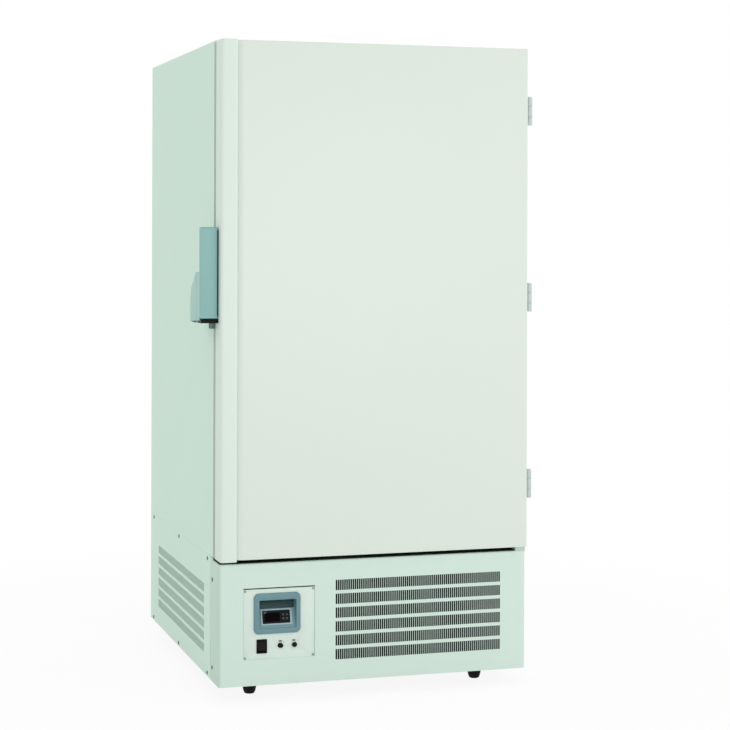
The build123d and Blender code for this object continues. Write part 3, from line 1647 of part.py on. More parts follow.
# Refrigerant pipes, each from one piece's face to the next, with a drier in the liquid line
pipe_level = stub_top + pipe_bend + shroud_sheet
liquid_level = condenser_top + stub_height / 2 + pipe_bend + shroud_sheet
exchanger_front = coil_y - exchanger_depth / 2
exchanger_right = coil_left + exchanger_width / 2
pipe_routes = [
    [(coil_left, coil_y, coil_tail_end), (coil_left, coil_y, exchanger_top)],
    [(coil_riser, coil_y, coil_tail_end), (coil_riser, coil_y, stub_top)],
    [
        (low_stage_x - stub_out, coil_y, stub_top),
        (low_stage_x - stub_out, coil_y, pipe_level),
        (exchanger_right, coil_y, pipe_level),
    ],
    [
        (coil_left, exchanger_front, pipe_level),
        (coil_left, high_stage_y + stub_out, pipe_level),
        (coil_left, high_stage_y + stub_out, stub_top),
    ],
    [
        (high_stage_x, high_stage_y - stub_out, stub_top),
        (high_stage_x, high_stage_y - stub_out, liquid_level),
        (condenser_stub_x, high_stage_y - stub_out, liquid_level),
        (condenser_stub_x, condenser_stub_y, liquid_level),
        (condenser_stub_x, condenser_stub_y, condenser_top + stub_height / 2),
    ],
]
with BuildPart() as refrigerant_pipes:
    for route in pipe_routes:
        with BuildLine() as pipe_route:
            if len(route) > 2:
                FilletPolyline(*route, radius=pipe_bend)
            else:
                Polyline(*route)
        with BuildSketch(Plane(origin=pipe_route.line @ 0, z_dir=pipe_route.line % 0)):
            RegularPolygon(radius=pipe_diameter / 2, side_count=tube_sides)
        sweep(path=pipe_route.line)
    drier_middle = (high_stage_x + condenser_stub_x) / 2
    drier_plane = Plane(
        origin=(drier_middle, high_stage_y - stub_out, liquid_level),
        x_dir=(1, 0, 0),
        z_dir=(0, -1, 0),
    )
    with BuildSketch(drier_plane):
        with BuildLine():
            Polyline(
                (-drier_length / 2, 0),
                (-drier_length / 2, pipe_diameter / 2 + 1),
                (-drier_length / 3, drier_diameter / 2),
                (drier_length / 3, drier_diameter / 2),
                (drier_length / 2, pipe_diameter / 2 + 1),
                (drier_length / 2, 0),
                close=True,
            )
        make_face()
    revolve(axis=Axis((drier_middle, high_stage_y - stub_out, liquid_level), (1, 0, 0)))
refrigerant_pipes.part.label = "refrigerant_pipes"
export_step(refrigerant_pipes.part, "parts/refrigerant_pipes.step")

# Electrical box: a folded box with a lid that laps over it
box_x = cabinet_left + box_left
box_y = door_front + box_back
with BuildPart() as electrical_box:
    with BuildSketch(floor_plane(pan_top)):
        span(box_x, box_x + box_width, box_y, box_y + box_depth)
    extrude(amount=box_height)
    with BuildSketch(floor_plane(pan_top + box_height - 5 * box_lid)):
        span(
            box_x - box_lid,
            box_x + box_width + box_lid,
            box_y - box_lid,
            box_y + box_depth + box_lid,
        )
    extrude(amount=6 * box_lid)
electrical_box.part.label = "electrical_box"
export_step(electrical_box.part, "parts/electrical_box.step")

# Panel screws: heads seated on the base's sides, the hinge straps, the control plate and the back
column_front = door_front + screw_column_front
column_back = cabinet_back - screw_column_back
side_screws = [
    (column, level)
    for column in (column_front, (column_front + column_back) / 2, column_back)
    for level in (base_bottom + screw_margin, base_top - screw_margin)
]
side_screws += [
    (door_front + wrap_screw_column, base_bottom + wrap_screw_high),
    (door_front + wrap_screw_column, base_bottom + wrap_screw_low),
]
strap_screw_y = door_front + (strap_bend_end + strap_end) / 2
strap_screws = [
    (strap_screw_y, level + half * hinge_height / 4) for level in hinge_levels for half in (-1, 1)
]
plate_screws = [
    (plate_left + across, plate_bottom + up)
    for across in (plate_screw_in, plate_width - 2 * plate_screw_in)
    for up in (plate_screw_in, plate_height - plate_screw_in)
]
rear_screws = [
    (cabinet_left + across, base_bottom + up)
    for across in (2 * screw_margin, cabinet_width - 2 * screw_margin)
    for up in (screw_margin, base_height - screw_margin)
]
with BuildPart() as panel_screws:
    for screw_plane, places, rise, radius in (
        (side_plane(cabinet_left), side_screws, -screw_head_height, screw_head / 2),
        (side_plane(cabinet_right), side_screws, screw_head_height, screw_head / 2),
        (side_plane(cabinet_right + strap_sheet), strap_screws, screw_head_height, screw_head / 2),
        (front_plane(plate_front), plate_screws, screw_head_height, plate_screw_head / 2),
        (front_plane(cabinet_back), rear_screws, -screw_head_height, screw_head / 2),
    ):
        with BuildSketch(screw_plane):
            with Locations(*places):
                RegularPolygon(radius=radius, side_count=screw_sides)
        extrude(amount=rise)
panel_screws.part.label = "panel_screws"
export_step(panel_screws.part, "parts/panel_screws.step")
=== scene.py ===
# %% [markdown]
# An upright ultra low temperature freezer, dressed for its portrait.
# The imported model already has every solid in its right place, in metres, with X to the viewer's
# right, Y to the back and Z up. This lesson keeps that frame and gives it the surfaces of the real
# thing: powder coated steel with fine punched vents, a soft rubber gasket, a grey moulded lever,
# hinges with rolled knuckles, and a small digital controller sunk in the base.

import json
import math

import bmesh
import bpy
import numpy as np
from mathutils import Matrix, Vector

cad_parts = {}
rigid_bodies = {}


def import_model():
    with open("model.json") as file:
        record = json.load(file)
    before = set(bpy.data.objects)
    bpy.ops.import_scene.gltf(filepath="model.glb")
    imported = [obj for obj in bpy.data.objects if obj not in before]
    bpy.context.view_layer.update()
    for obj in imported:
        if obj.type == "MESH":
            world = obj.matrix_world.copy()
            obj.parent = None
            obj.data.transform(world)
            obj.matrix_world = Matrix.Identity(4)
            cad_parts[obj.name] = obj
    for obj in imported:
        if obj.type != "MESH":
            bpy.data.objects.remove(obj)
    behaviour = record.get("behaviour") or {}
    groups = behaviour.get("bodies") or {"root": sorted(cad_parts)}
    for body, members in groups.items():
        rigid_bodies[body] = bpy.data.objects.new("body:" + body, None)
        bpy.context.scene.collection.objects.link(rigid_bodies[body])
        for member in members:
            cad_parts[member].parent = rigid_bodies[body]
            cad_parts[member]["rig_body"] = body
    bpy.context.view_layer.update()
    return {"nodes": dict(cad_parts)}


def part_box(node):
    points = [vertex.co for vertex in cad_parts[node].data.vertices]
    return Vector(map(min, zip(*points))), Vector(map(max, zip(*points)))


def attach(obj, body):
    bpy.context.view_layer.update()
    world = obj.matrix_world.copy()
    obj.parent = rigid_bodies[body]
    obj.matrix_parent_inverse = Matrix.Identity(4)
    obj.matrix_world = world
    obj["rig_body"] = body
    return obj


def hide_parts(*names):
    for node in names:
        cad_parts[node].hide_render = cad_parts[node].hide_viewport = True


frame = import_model()
nodes = frame["nodes"]
MM = 0.001

# %% [markdown]
# Shapes come first as plain numbers. A shape here is a pair: an array of points and a list of
# faces that name points by number. The pieces could also be pushed about with modifiers, but as
# numbers one function can join, repeat or turn them before Blender sees anything. Each starts from
# a loop, a closed outline on a flat sheet. Loops run counter-clockwise, so the inside is always to
# the left of the walking direction. The five small tables say how a flat sheet is turned to face
# up, forwards, right, left or back.

# %% Loops: closed outlines on a flat sheet
LEVEL = np.eye(3)
FRONT = np.array([[1.0, 0, 0], [0, 0, 1.0], [0, -1.0, 0]])
RIGHT = np.array([[0, 1.0, 0], [0, 0, 1.0], [1.0, 0, 0]])
LEFT = np.array([[0, -1.0, 0], [0, 0, 1.0], [-1.0, 0, 0]])
BACK = np.array([[-1.0, 0, 0], [0, 0, 1.0], [0, 1.0, 0]])
SHARPEST_MITRE = 0.4


def rounded_rectangle(width, height, radius, steps=6, centre=(0.0, 0.0)):
    """Four quarter circles, radius times (cos a, sin a), round the corners of a rectangle."""
    turns = np.linspace(0, np.pi / 2, steps)
    quarters = np.arange(4)[:, None] * np.pi / 2 + turns[None, :]
    signs = np.array([[1, 1], [-1, 1], [-1, -1], [1, -1]])
    middles = signs * [width / 2 - radius, height / 2 - radius]
    arcs = radius * np.stack([np.cos(quarters), np.sin(quarters)], axis=-1)
    return (middles[:, None, :] + arcs).reshape(-1, 2) + centre


def circle(radius, count=32, centre=(0.0, 0.0)):
    """Points at equal angles a: radius times (cos a, sin a)."""
    turns = np.linspace(0, 2 * np.pi, count, endpoint=False)
    return radius * np.stack([np.cos(turns), np.sin(turns)], axis=-1) + centre


def drawn_in(loop, distance):
    """Each point moves along the mitre of its two edges, so that both edges move by distance."""
    ahead = np.roll(loop, -1, axis=0) - loop
    ahead /= np.linalg.norm(ahead, axis=1, keepdims=True)
    behind = np.roll(ahead, 1, axis=0)
    inward = np.stack([-ahead[:, 1], ahead[:, 0]], axis=1)
    other = np.stack([-behind[:, 1], behind[:, 0]], axis=1)
    mitre = inward + other
    mitre /= np.linalg.norm(mitre, axis=1, keepdims=True)
    spread = np.maximum((mitre * inward).sum(axis=1, keepdims=True), SHARPEST_MITRE)
    return loop + mitre * distance / spread


print("loops ready:", rounded_rectangle(2, 1, 0.2).shape, circle(1).shape)

# %% [markdown]
# Most pieces of a freezer are folded, moulded or turned, so each is a pile of outlines with a skin
# over it. An extrusion with a bevel modifier would come close, but a pile of loops lets every rim
# have its own radius, and its skin is closed by the way it is built.

# %% Shapes: rings of points joined into closed skins


def loft(rings, path_closed=False):
    """Skin over a pile of rings: point i of ring r joins point i + 1 and both in ring r + 1.
    The first and last ring are closed with one flat face each, or joined to each other."""
    rings = np.asarray(rings, float)
    count, size = rings.shape[:2]
    ring = np.arange(count if path_closed else count - 1)[:, None]
    point = np.arange(size)[None, :]
    after, above = (point + 1) % size, (ring + 1) % count
    quads = np.stack(
        [ring * size + point, ring * size + after, above * size + after, above * size + point],
        axis=-1,
    ).reshape(-1, 4)
    faces = quads.tolist()
    if not path_closed:
        faces += [list(range(size))[::-1], list(range((count - 1) * size, count * size))]
    return rings.reshape(-1, 3), faces


def piled(loops, heights, axes=LEVEL, origin=(0, 0, 0)):
    """Rings in space: each flat loop at its own height, turned by axes and moved to origin."""
    rings = [np.column_stack([loop, np.full(len(loop), h)]) for loop, h in zip(loops, heights)]
    return np.array(rings) @ axes + np.asarray(origin)


def soft_block(loop, low, high, low_edge, high_edge, axes=LEVEL, origin=(0, 0, 0), steps=4):
    """A loop carried from low to high with round rims: at angle a of a rim of radius e, the loop
    is drawn in by e (1 - cos a) and lies e (1 - sin a) from the end."""
    turn = np.linspace(np.pi / 2, 0, steps)
    loops, heights = [], []
    if low_edge > 0:
        loops += [drawn_in(loop, low_edge * (1 - np.cos(a))) for a in turn]
        heights += [low + low_edge * (1 - np.sin(a)) for a in turn]
    else:
        loops.append(loop)
        heights.append(low)
    if high_edge > 0:
        loops += [drawn_in(loop, high_edge * (1 - np.cos(a))) for a in turn[::-1]]
        heights += [high - high_edge * (1 - np.sin(a)) for a in turn[::-1]]
    else:
        loops.append(loop)
        heights.append(high)
    return loft(piled(loops, heights, axes, origin))


def turned(profile, count=40, axes=LEVEL, origin=(0, 0, 0)):
    """A body of rotation: each (radius, height) of the profile becomes one ring."""
    loops = [circle(radius, count) for radius, _ in profile]
    return loft(piled(loops, [height for _, height in profile], axes, origin))


def joined(*shapes):
    """Several shapes as one, with the face numbers moved along."""
    points, faces, start = [], [], 0
    for some_points, some_faces in shapes:
        points.append(some_points)
        faces += [[corner + start for corner in face] for face in some_faces]
        start += len(some_points)
    return np.concatenate(points), faces


def copies(shape, places):
    """The same shape at several places."""
    points, faces = shape
    return joined(*[(points + np.asarray(place), faces) for place in places])


print("ring tools ready:", len(turned([(1, 0), (1, 1)], 8)[1]), "faces on a small drum")

# %% [markdown]
# The base of the freezer is sheet steel, punched with hundreds of slots. Cutting each slot with a
# boolean would be slow and would leave a ragged mesh. Here the sheet is a grid of lines that
# passes along every slot's edge, and the cells inside the slots are simply left out.

# %% Shapes: bars, strips and punched sheets


def bars(lows, highs):
    """Many plain boxes at once, from arrays of their lowest and highest corners."""
    lows, highs = np.asarray(lows, float), np.asarray(highs, float)
    picks = np.array(
        [[0, 0, 0], [1, 0, 0], [1, 1, 0], [0, 1, 0], [0, 0, 1], [1, 0, 1], [1, 1, 1], [0, 1, 1]]
    )
    points = np.where(picks[None] == 1, highs[:, None], lows[:, None]).reshape(-1, 3)
    sides = np.array(
        [[3, 2, 1, 0], [4, 5, 6, 7], [0, 1, 5, 4], [1, 2, 6, 5], [2, 3, 7, 6], [3, 0, 4, 7]]
    )
    faces = (sides[None] + 8 * np.arange(len(lows))[:, None, None]).reshape(-1, 4)
    return points, faces.tolist()


def strip(low, high, edge):
    """A bar between two corners: from the front a rounded rectangle, and with round rims."""
    low, high = np.asarray(low, float), np.asarray(high, float)
    size, middle = high - low, (low + high) / 2
    face = rounded_rectangle(size[0], size[2], edge, 4)
    return soft_block(face, -size[1] / 2, size[1] / 2, edge / 2, edge / 2, FRONT, middle, 3)


def punched_sheet(across, up, holes, thickness, place):
    """A sheet over a grid of lines, less the cells marked as holes, with a wall at each edge.
    place(u, v, depth) gives the point in space for a place on the sheet."""
    u, v = np.meshgrid(across, up, indexing="ij")
    points = np.concatenate(
        [place(u, v, 0.0).reshape(-1, 3), place(u, v, thickness).reshape(-1, 3)]
    )
    number = np.arange(u.size).reshape(u.shape)
    kept = ~holes
    corners = np.stack([number[:-1, :-1], number[1:, :-1], number[1:, 1:], number[:-1, 1:]], -1)
    front = corners[kept]
    ringed = np.pad(kept, 1)
    beyond = [ringed[1:-1, :-2], ringed[2:, 1:-1], ringed[1:-1, 2:], ringed[:-2, 1:-1]]
    walls = []
    for side, neighbour in enumerate(beyond):
        edge = corners[kept & ~neighbour]
        start, end = edge[:, side], edge[:, (side + 1) % 4]
        walls.append(np.stack([end, start, start + u.size, end + u.size], axis=-1))
    quads = np.concatenate([front, front[:, ::-1] + u.size, *walls])
    used, renumbered = np.unique(quads, return_inverse=True)
    return points[used], renumbered.reshape(-1, 4).tolist()


print("shape tools ready")

# %% [markdown]
# A new piece becomes a Blender object only at the end. Its object stays at the origin, its faces
# are made to point outwards, and its shading is smooth except where two faces meet at a clear
# angle. Every piece says which body it moves with and which finish it shows. Where the imported
# solid already has the right form, its own mesh is copied and only its knife edges are rounded. A
# bevel modifier does that best, because it follows bores and lugs by itself.

# %% From a shape to a piece on a body


def body_of(node):
    """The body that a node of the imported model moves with."""
    return nodes[node]["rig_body"]


def corners_of(node):
    """Lowest and highest corner of a node, as arrays in metres."""
    low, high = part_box(node)
    return np.array(low), np.array(high)


def new_piece(name, shape, material, body, stands_for=(), sharp=35):
    """A shape as an object on a body. It hides the nodes that it stands for, and its shading is
    sharp where faces meet at more than the sharp angle, in degrees."""
    points, faces = shape
    mesh = bpy.data.meshes.new(name)
    mesh.from_pydata(points.tolist(), [], faces)
    outward = bmesh.new()
    outward.from_mesh(mesh)
    bmesh.ops.recalc_face_normals(outward, faces=outward.faces)
    outward.to_mesh(mesh)
    outward.free()
    mesh.shade_smooth()
    mesh.set_sharp_from_angle(angle=math.radians(sharp))
    mesh.materials.append(material)
    piece = bpy.data.objects.new(name, mesh)
    bpy.context.scene.collection.objects.link(piece)
    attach(piece, body)
    if stands_for:
        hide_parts(*stands_for)
    print(f"{name}: {len(points)} points on {body}")
    return piece


SOFTENED_ANGLE = 25


def softened(name, node, material, width, segments=3):
    """The node's own solid with its hard edges rounded: triangles merged into flat faces, then
    a bevel on every edge sharper than the softened angle."""
    mesh = nodes[node].data.copy()
    mesh.name = name
    solid = bmesh.new()
    solid.from_mesh(mesh)
    bmesh.ops.remove_doubles(solid, verts=solid.verts, dist=0.01 * MM)
    bmesh.ops.dissolve_limit(
        solid, angle_limit=math.radians(1.0), verts=solid.verts, edges=solid.edges
    )
    solid.to_mesh(mesh)
    solid.free()
    mesh.materials.clear()
    mesh.materials.append(material)
    mesh.shade_smooth()
    piece = bpy.data.objects.new(name, mesh)
    bpy.context.scene.collection.objects.link(piece)
    bevel = piece.modifiers.new("soft edges", "BEVEL")
    bevel.width = width
    bevel.segments = segments
    bevel.limit_method = "ANGLE"
    bevel.angle_limit = math.radians(SOFTENED_ANGLE)
    bevel.harden_normals = True
    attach(piece, body_of(node))
    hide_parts(node)
    print(f"{name}: {len(mesh.polygons)} flat faces, edges rounded by {width / MM:.1f} mm")
    return piece


print("piece tools ready")

# %% [markdown]
# Finishes. Real paint is never one flat colour: powder coat has a fine orange peel, and its tone
# drifts a little over a large panel. Brushed steel has long fine lines. Each of these effects is a
# node group that is built once and used in many materials with its own values. An image could
# carry them too, but noise needs no unwrapping and stays fine at any distance. They all read
# Object coordinates, so a pattern stays on its piece when the door swings.

# %% An empty effect


def effect(name, inputs, outputs):
    """An empty node group with named sockets, and its input and output nodes."""
    group = bpy.data.node_groups.new(name, "ShaderNodeTree")
    for label, kind, value in inputs:
        socket = group.interface.new_socket(label, in_out="INPUT", socket_type=kind)
        if value is not None:
            socket.default_value = value
    for label, kind in outputs:
        group.interface.new_socket(label, in_out="OUTPUT", socket_type=kind)
    return group, group.nodes.new("NodeGroupInput"), group.nodes.new("NodeGroupOutput")


print("ready to build effects")

# %% [markdown]
# The first effect is tone drift. A large panel is a shade lighter here and darker there, by one to
# three parts in a hundred. A broad soft noise, centred on nought, scales the colour up and down.

# %% Tone drift


def tone_drift_group():
    """Colour times 1 plus or minus a share, following a broad soft noise."""
    group, given, out = effect(
        "tone drift",
        [
            ("Vector", "NodeSocketVector", None),
            ("Color", "NodeSocketColor", None),
            ("Share", "NodeSocketFloat", 0.03),
            ("Scale", "NodeSocketFloat", 2.0),
        ],
        [("Color", "NodeSocketColor")],
    )
    noise = group.nodes.new("ShaderNodeTexNoise")
    noise.inputs["Detail"].default_value = 4
    centred = group.nodes.new("ShaderNodeMath")
    centred.operation = "SUBTRACT"
    centred.inputs[1].default_value = 0.5
    scaled = group.nodes.new("ShaderNodeMath")
    scaled.operation = "MULTIPLY_ADD"
    scaled.inputs[2].default_value = 1.0
    shade = group.nodes.new("ShaderNodeVectorMath")
    shade.operation = "SCALE"
    link = group.links.new
    link(given.outputs["Vector"], noise.inputs["Vector"])
    link(given.outputs["Scale"], noise.inputs["Scale"])
    link(noise.outputs["Fac"], centred.inputs[0])
    link(centred.outputs[0], scaled.inputs[0])
    link(given.outputs["Share"], scaled.inputs[1])
    link(given.outputs["Color"], shade.inputs[0])
    link(scaled.outputs[0], shade.inputs["Scale"])
    link(shade.outputs[0], out.inputs["Color"])
    return group


TONE_DRIFT = tone_drift_group()
print("tone drift:", len(TONE_DRIFT.nodes), "nodes")

# %% [markdown]
# The second is fine relief: the orange peel of paint, the spark texture of a mould, the lines of a
# brush. Real displacement would need millions of faces, so only the normal is tilted, as if the
# surface rose and fell by less than a third of a millimetre.

# %% Fine relief
RELIEF_HEIGHT = 0.3 * MM


def fine_relief_group():
    """A normal tilted by a fine noise, stretched along one axis where lines are wanted."""
    group, given, out = effect(
        "fine relief",
        [
            ("Vector", "NodeSocketVector", None),
            ("Stretch", "NodeSocketVector", (1, 1, 1)),
            ("Scale", "NodeSocketFloat", 400.0),
            ("Strength", "NodeSocketFloat", 0.05),
        ],
        [("Normal", "NodeSocketVector")],
    )
    stretch = group.nodes.new("ShaderNodeVectorMath")
    stretch.operation = "MULTIPLY"
    noise = group.nodes.new("ShaderNodeTexNoise")
    noise.inputs["Detail"].default_value = 3
    bump = group.nodes.new("ShaderNodeBump")
    bump.inputs["Distance"].default_value = RELIEF_HEIGHT
    link = group.links.new
    link(given.outputs["Vector"], stretch.inputs[0])
    link(given.outputs["Stretch"], stretch.inputs[1])
    link(stretch.outputs[0], noise.inputs["Vector"])
    link(given.outputs["Scale"], noise.inputs["Scale"])
    link(noise.outputs["Fac"], bump.inputs["Height"])
    link(given.outputs["Strength"], bump.inputs["Strength"])
    link(bump.outputs["Normal"], out.inputs["Normal"])
    return group


FINE_RELIEF = fine_relief_group()
print("fine relief:", len(FINE_RELIEF.nodes), "nodes")

# %% [markdown]
# The third is handled sheen. A door that is wiped now and then is duller where the cloth left a
# film. The same noise with some distortion moves the roughness up and down round its value.

# %% Handled sheen


def handled_sheen_group():
    """Roughness plus or minus a share, in the smears and clean spots that cleaning leaves."""
    group, given, out = effect(
        "handled sheen",
        [
            ("Vector", "NodeSocketVector", None),
            ("Roughness", "NodeSocketFloat", 0.4),
            ("Share", "NodeSocketFloat", 0.1),
            ("Scale", "NodeSocketFloat", 6.0),
        ],
        [("Roughness", "NodeSocketFloat")],
    )
    noise = group.nodes.new("ShaderNodeTexNoise")
    noise.inputs["Detail"].default_value = 6
    noise.inputs["Distortion"].default_value = 0.6
    centred = group.nodes.new("ShaderNodeMath")
    centred.operation = "SUBTRACT"
    centred.inputs[1].default_value = 0.5
    added = group.nodes.new("ShaderNodeMath")
    added.operation = "MULTIPLY_ADD"
    link = group.links.new
    link(given.outputs["Vector"], noise.inputs["Vector"])
    link(given.outputs["Scale"], noise.inputs["Scale"])
    link(noise.outputs["Fac"], centred.inputs[0])
    link(centred.outputs[0], added.inputs[0])
    link(given.outputs["Share"], added.inputs[1])
    link(given.outputs["Roughness"], added.inputs[2])
    link(added.outputs[0], out.inputs["Roughness"])
    return group


HANDLED_SHEEN = handled_sheen_group()
print("effects:", [group.name for group in bpy.data.node_groups])

# %% [markdown]
# A finish is one Principled shader. Values that are the same all over a piece are set on the
# shader's own sockets, and the three effects give it colour, roughness and normal. Colours are
# written as a paint chart would give them, from 0 to 255, and changed to linear light once.

# %% A finish: one Principled shader fed by the three effects
COAT_ROUGHNESS = 0.12


def linear(red, green, blue):
    """An everyday 0 to 255 colour as the linear light that Blender works in."""
    share = np.array([red, green, blue]) / 255.0
    light = np.where(share <= 0.04045, share / 12.92, ((share + 0.055) / 1.055) ** 2.4)
    return (*light.tolist(), 1.0)


def finish(
    name,
    colour,
    roughness,
    metallic=0.0,
    coat=0.0,
    specular=0.5,
    drift=0.03,
    drift_scale=2.5,
    relief=0.04,
    relief_scale=450.0,
    stretch=(1.0, 1.0, 1.0),
    smear=0.08,
):
    """A material from a chart colour, with shares of tone drift, relief and smears."""
    made = bpy.data.materials.new(name)
    made.use_nodes = True
    tree = made.node_tree
    shader = tree.nodes["Principled BSDF"]
    shader.inputs["Metallic"].default_value = metallic
    shader.inputs["Coat Weight"].default_value = coat
    shader.inputs["Coat Roughness"].default_value = COAT_ROUGHNESS
    shader.inputs["Specular IOR Level"].default_value = specular
    place = tree.nodes.new("ShaderNodeTexCoord").outputs["Object"]

    def add(group, **values):
        """One of the effects, on the object's own coordinates and with its values set."""
        node = tree.nodes.new("ShaderNodeGroup")
        node.node_tree = group
        tree.links.new(place, node.inputs["Vector"])
        for label, value in values.items():
            node.inputs[label].default_value = value
        return node

    tone = add(TONE_DRIFT, Color=linear(*colour), Share=drift, Scale=drift_scale)
    tree.links.new(tone.outputs["Color"], shader.inputs["Base Color"])
    grain = add(FINE_RELIEF, Stretch=stretch, Scale=relief_scale, Strength=relief)
    tree.links.new(grain.outputs["Normal"], shader.inputs["Normal"])
    sheen = add(HANDLED_SHEEN, Roughness=roughness, Share=smear)
    tree.links.new(sheen.outputs["Roughness"], shader.inputs["Roughness"])
    return made


print("a mid grey of 128 is", round(linear(128, 128, 128)[0], 3), "in linear light")

# %% [markdown]
# The freezer is powder coated in one pale green white. Cabinet, door, base and control plate each
# have a material of their own. The cabinet is written greener than the door: that is painted shade,
# the green cast of its side walls, which are turned away from the lamps. The base is written a
# little darker and greener than the door. A little specular light is taken off cabinet and base,
# because their matt coat shows no bright sheen in soft light. One material for all of them would be
# simpler, but then the door would not stand out from the cabinet.

# %% Paints, foam and seals
door_paint = finish("door paint", (225, 235, 225), 0.36, coat=0.05, drift=0.015, relief=0.05)
# The cabinet's greener tone is painted shade for its side walls, which are turned from the lamps.
cabinet_paint = finish(
    "cabinet paint", (215, 242, 226), 0.45, specular=0.3, drift=0.03, relief=0.05
)
base_paint = finish("base paint", (215, 234, 224), 0.42, specular=0.3, drift=0.025, relief=0.05)
plate_paint = finish("control plate paint", (220, 235, 226), 0.42, drift=0.02, relief=0.03)
edge_moulding = finish(
    "edge moulding", (226, 240, 230), 0.4, specular=0.2, drift=0.015, relief=0.02
)
inner_plastic = finish("inner door plastic", (226, 230, 230), 0.35, drift=0.02, relief=0.03)
foam_core = finish("foam core", (214, 200, 160), 0.9, drift=0.1, drift_scale=20, relief=0.6)
# This rubber finish also serves as painted shade: the lines beside the control plate and beside the
# handle.
gasket_rubber_and_shade = finish(
    "gasket rubber and painted shade", (152, 184, 162), 0.55, specular=0.25, drift=0.05, relief=0.1, smear=0.05
)
print("paints, foam and seals:", len(bpy.data.materials))

# %% [markdown]
# The parts that hands touch are moulded in grey green and blue grey plastic, the switch and fuses
# in black. Moulded plastic is smoother than powder coat, and its relief is the fine spark texture
# of the mould. Rubber is rougher and hardly shines.

# %% Plastics and rubbers
lever_plastic = finish(
    "lever plastic", (139, 186, 183), 0.36, coat=0.05, drift=0.05, drift_scale=9, relief=0.05
)
handle_plastic = finish(
    "handle plastic", (162, 206, 197), 0.42, drift=0.05, drift_scale=9, relief=0.08
)
bezel_plastic = finish(
    "bezel plastic", (104, 143, 150), 0.4, drift=0.05, drift_scale=14, relief=0.1, smear=0.06
)
# This black finish also serves as painted shade: the strips over the plate and under the strike,
# and the cap under the lever's heel.
black_plastic_and_shade = finish(
    "black plastic and painted shade", (12, 13, 14), 0.45, specular=0.12, drift=0.1, relief=0.12
)
window_plastic = finish(
    "display window", (10, 5, 6), 0.35, specular=0.02, drift=0.1, relief=0.0, smear=0.03
)
# The smoked strip's dark finish is partly painted shade, for the shadow under the bezel's rim.
smoked_plastic_and_shade = finish(
    "smoked plastic and painted shade", (50, 72, 74), 0.4, specular=0.15, drift=0.08, relief=0.04
)
key_plastic = finish("key plastic", (84, 92, 98), 0.5, specular=0.2, drift=0.04, relief=0.08)
frame_plastic = finish("controller frame", (158, 186, 194), 0.4, drift=0.04, relief=0.05)
pad_rubber = finish(
    "foot rubber", (13, 14, 14), 0.6, specular=0.15, drift=0.15, drift_scale=20, relief=0.2
)
# A dark finish for the strip on the ledge: painted shade for the gap under the door.
ledge_gap_shade = finish(
    "ledge gap painted shade", (32, 36, 34), 0.6, specular=0.15, drift=0.15, drift_scale=20, relief=0.2
)
rating_grey = finish("rating plate grey", (118, 130, 124), 0.5, specular=0.3, relief=0.04)
# A dark finish for the strip along the lever: painted shade for the gap beside it.
lever_gap_shade = finish("lever gap painted shade", (38, 62, 54), 0.6, specular=0.15, drift=0.1, relief=0.1)
wheel_rubber = finish("wheel rubber", (62, 64, 66), 0.5, drift=0.1, drift_scale=30, relief=0.15)
print("with plastics and rubbers:", len(bpy.data.materials))

# %% [markdown]
# Metals: zinc plated forks and pins, lacquered hinges, dull grey screws, a brushed liner and
# shelves, copper pipes. Brushed steel is the same relief with its noise stretched almost flat
# along one axis, which draws fine lines without any texture image.

# %% Metals and the finishes of the machine space
zinc = finish(
    "zinc plate", (188, 194, 192), 0.32, metallic=0.9, drift=0.06, drift_scale=30, relief=0.06
)
hinge_metal = finish(
    "hinge metal", (196, 208, 205), 0.45, metallic=0.1, drift=0.04, drift_scale=18, relief=0.05
)
screw_metal = finish(
    "screw metal", (92, 104, 97), 0.4, metallic=0.6, drift=0.1, drift_scale=60, relief=0.05
)
plate_screw_metal = finish(
    "plate screw metal",
    (150, 163, 155),
    0.35,
    metallic=0.5,
    drift=0.1,
    drift_scale=60,
    relief=0.05,
)
# The mats behind the vents: a real filter, whose dark colour is also painted shade for the machine
# space behind it.
filter_mat_and_shade = finish("filter mat", (40, 43, 44), 0.9, specular=0.1, drift=0.15, relief=0.6)
brushed_liner = finish(
    "brushed liner",
    (196, 200, 202),
    0.34,
    metallic=1.0,
    drift=0.05,
    relief=0.12,
    relief_scale=260,
    stretch=(1.0, 1.0, 0.02),
)
frosted_shelf = finish(
    "shelf steel",
    (198, 202, 204),
    0.36,
    metallic=1.0,
    drift=0.05,
    relief=0.12,
    relief_scale=260,
    stretch=(0.02, 1.0, 1.0),
)
copper_tube = finish("copper tube", (196, 128, 92), 0.3, metallic=1.0, drift=0.12, drift_scale=40)
fin_metal = finish("fin metal", (58, 60, 62), 0.5, metallic=0.3, drift=0.1, drift_scale=30)
chassis_paint = finish("chassis paint", (92, 96, 97), 0.45, metallic=0.3, drift=0.08)
pot_enamel = finish("compressor enamel", (24, 25, 27), 0.28, coat=0.4, drift=0.1, relief=0.1)
foam_wrap = finish("exchanger wrap", (40, 42, 43), 0.85, drift=0.15, drift_scale=25, relief=0.5)
print("all finishes:", len(bpy.data.materials))
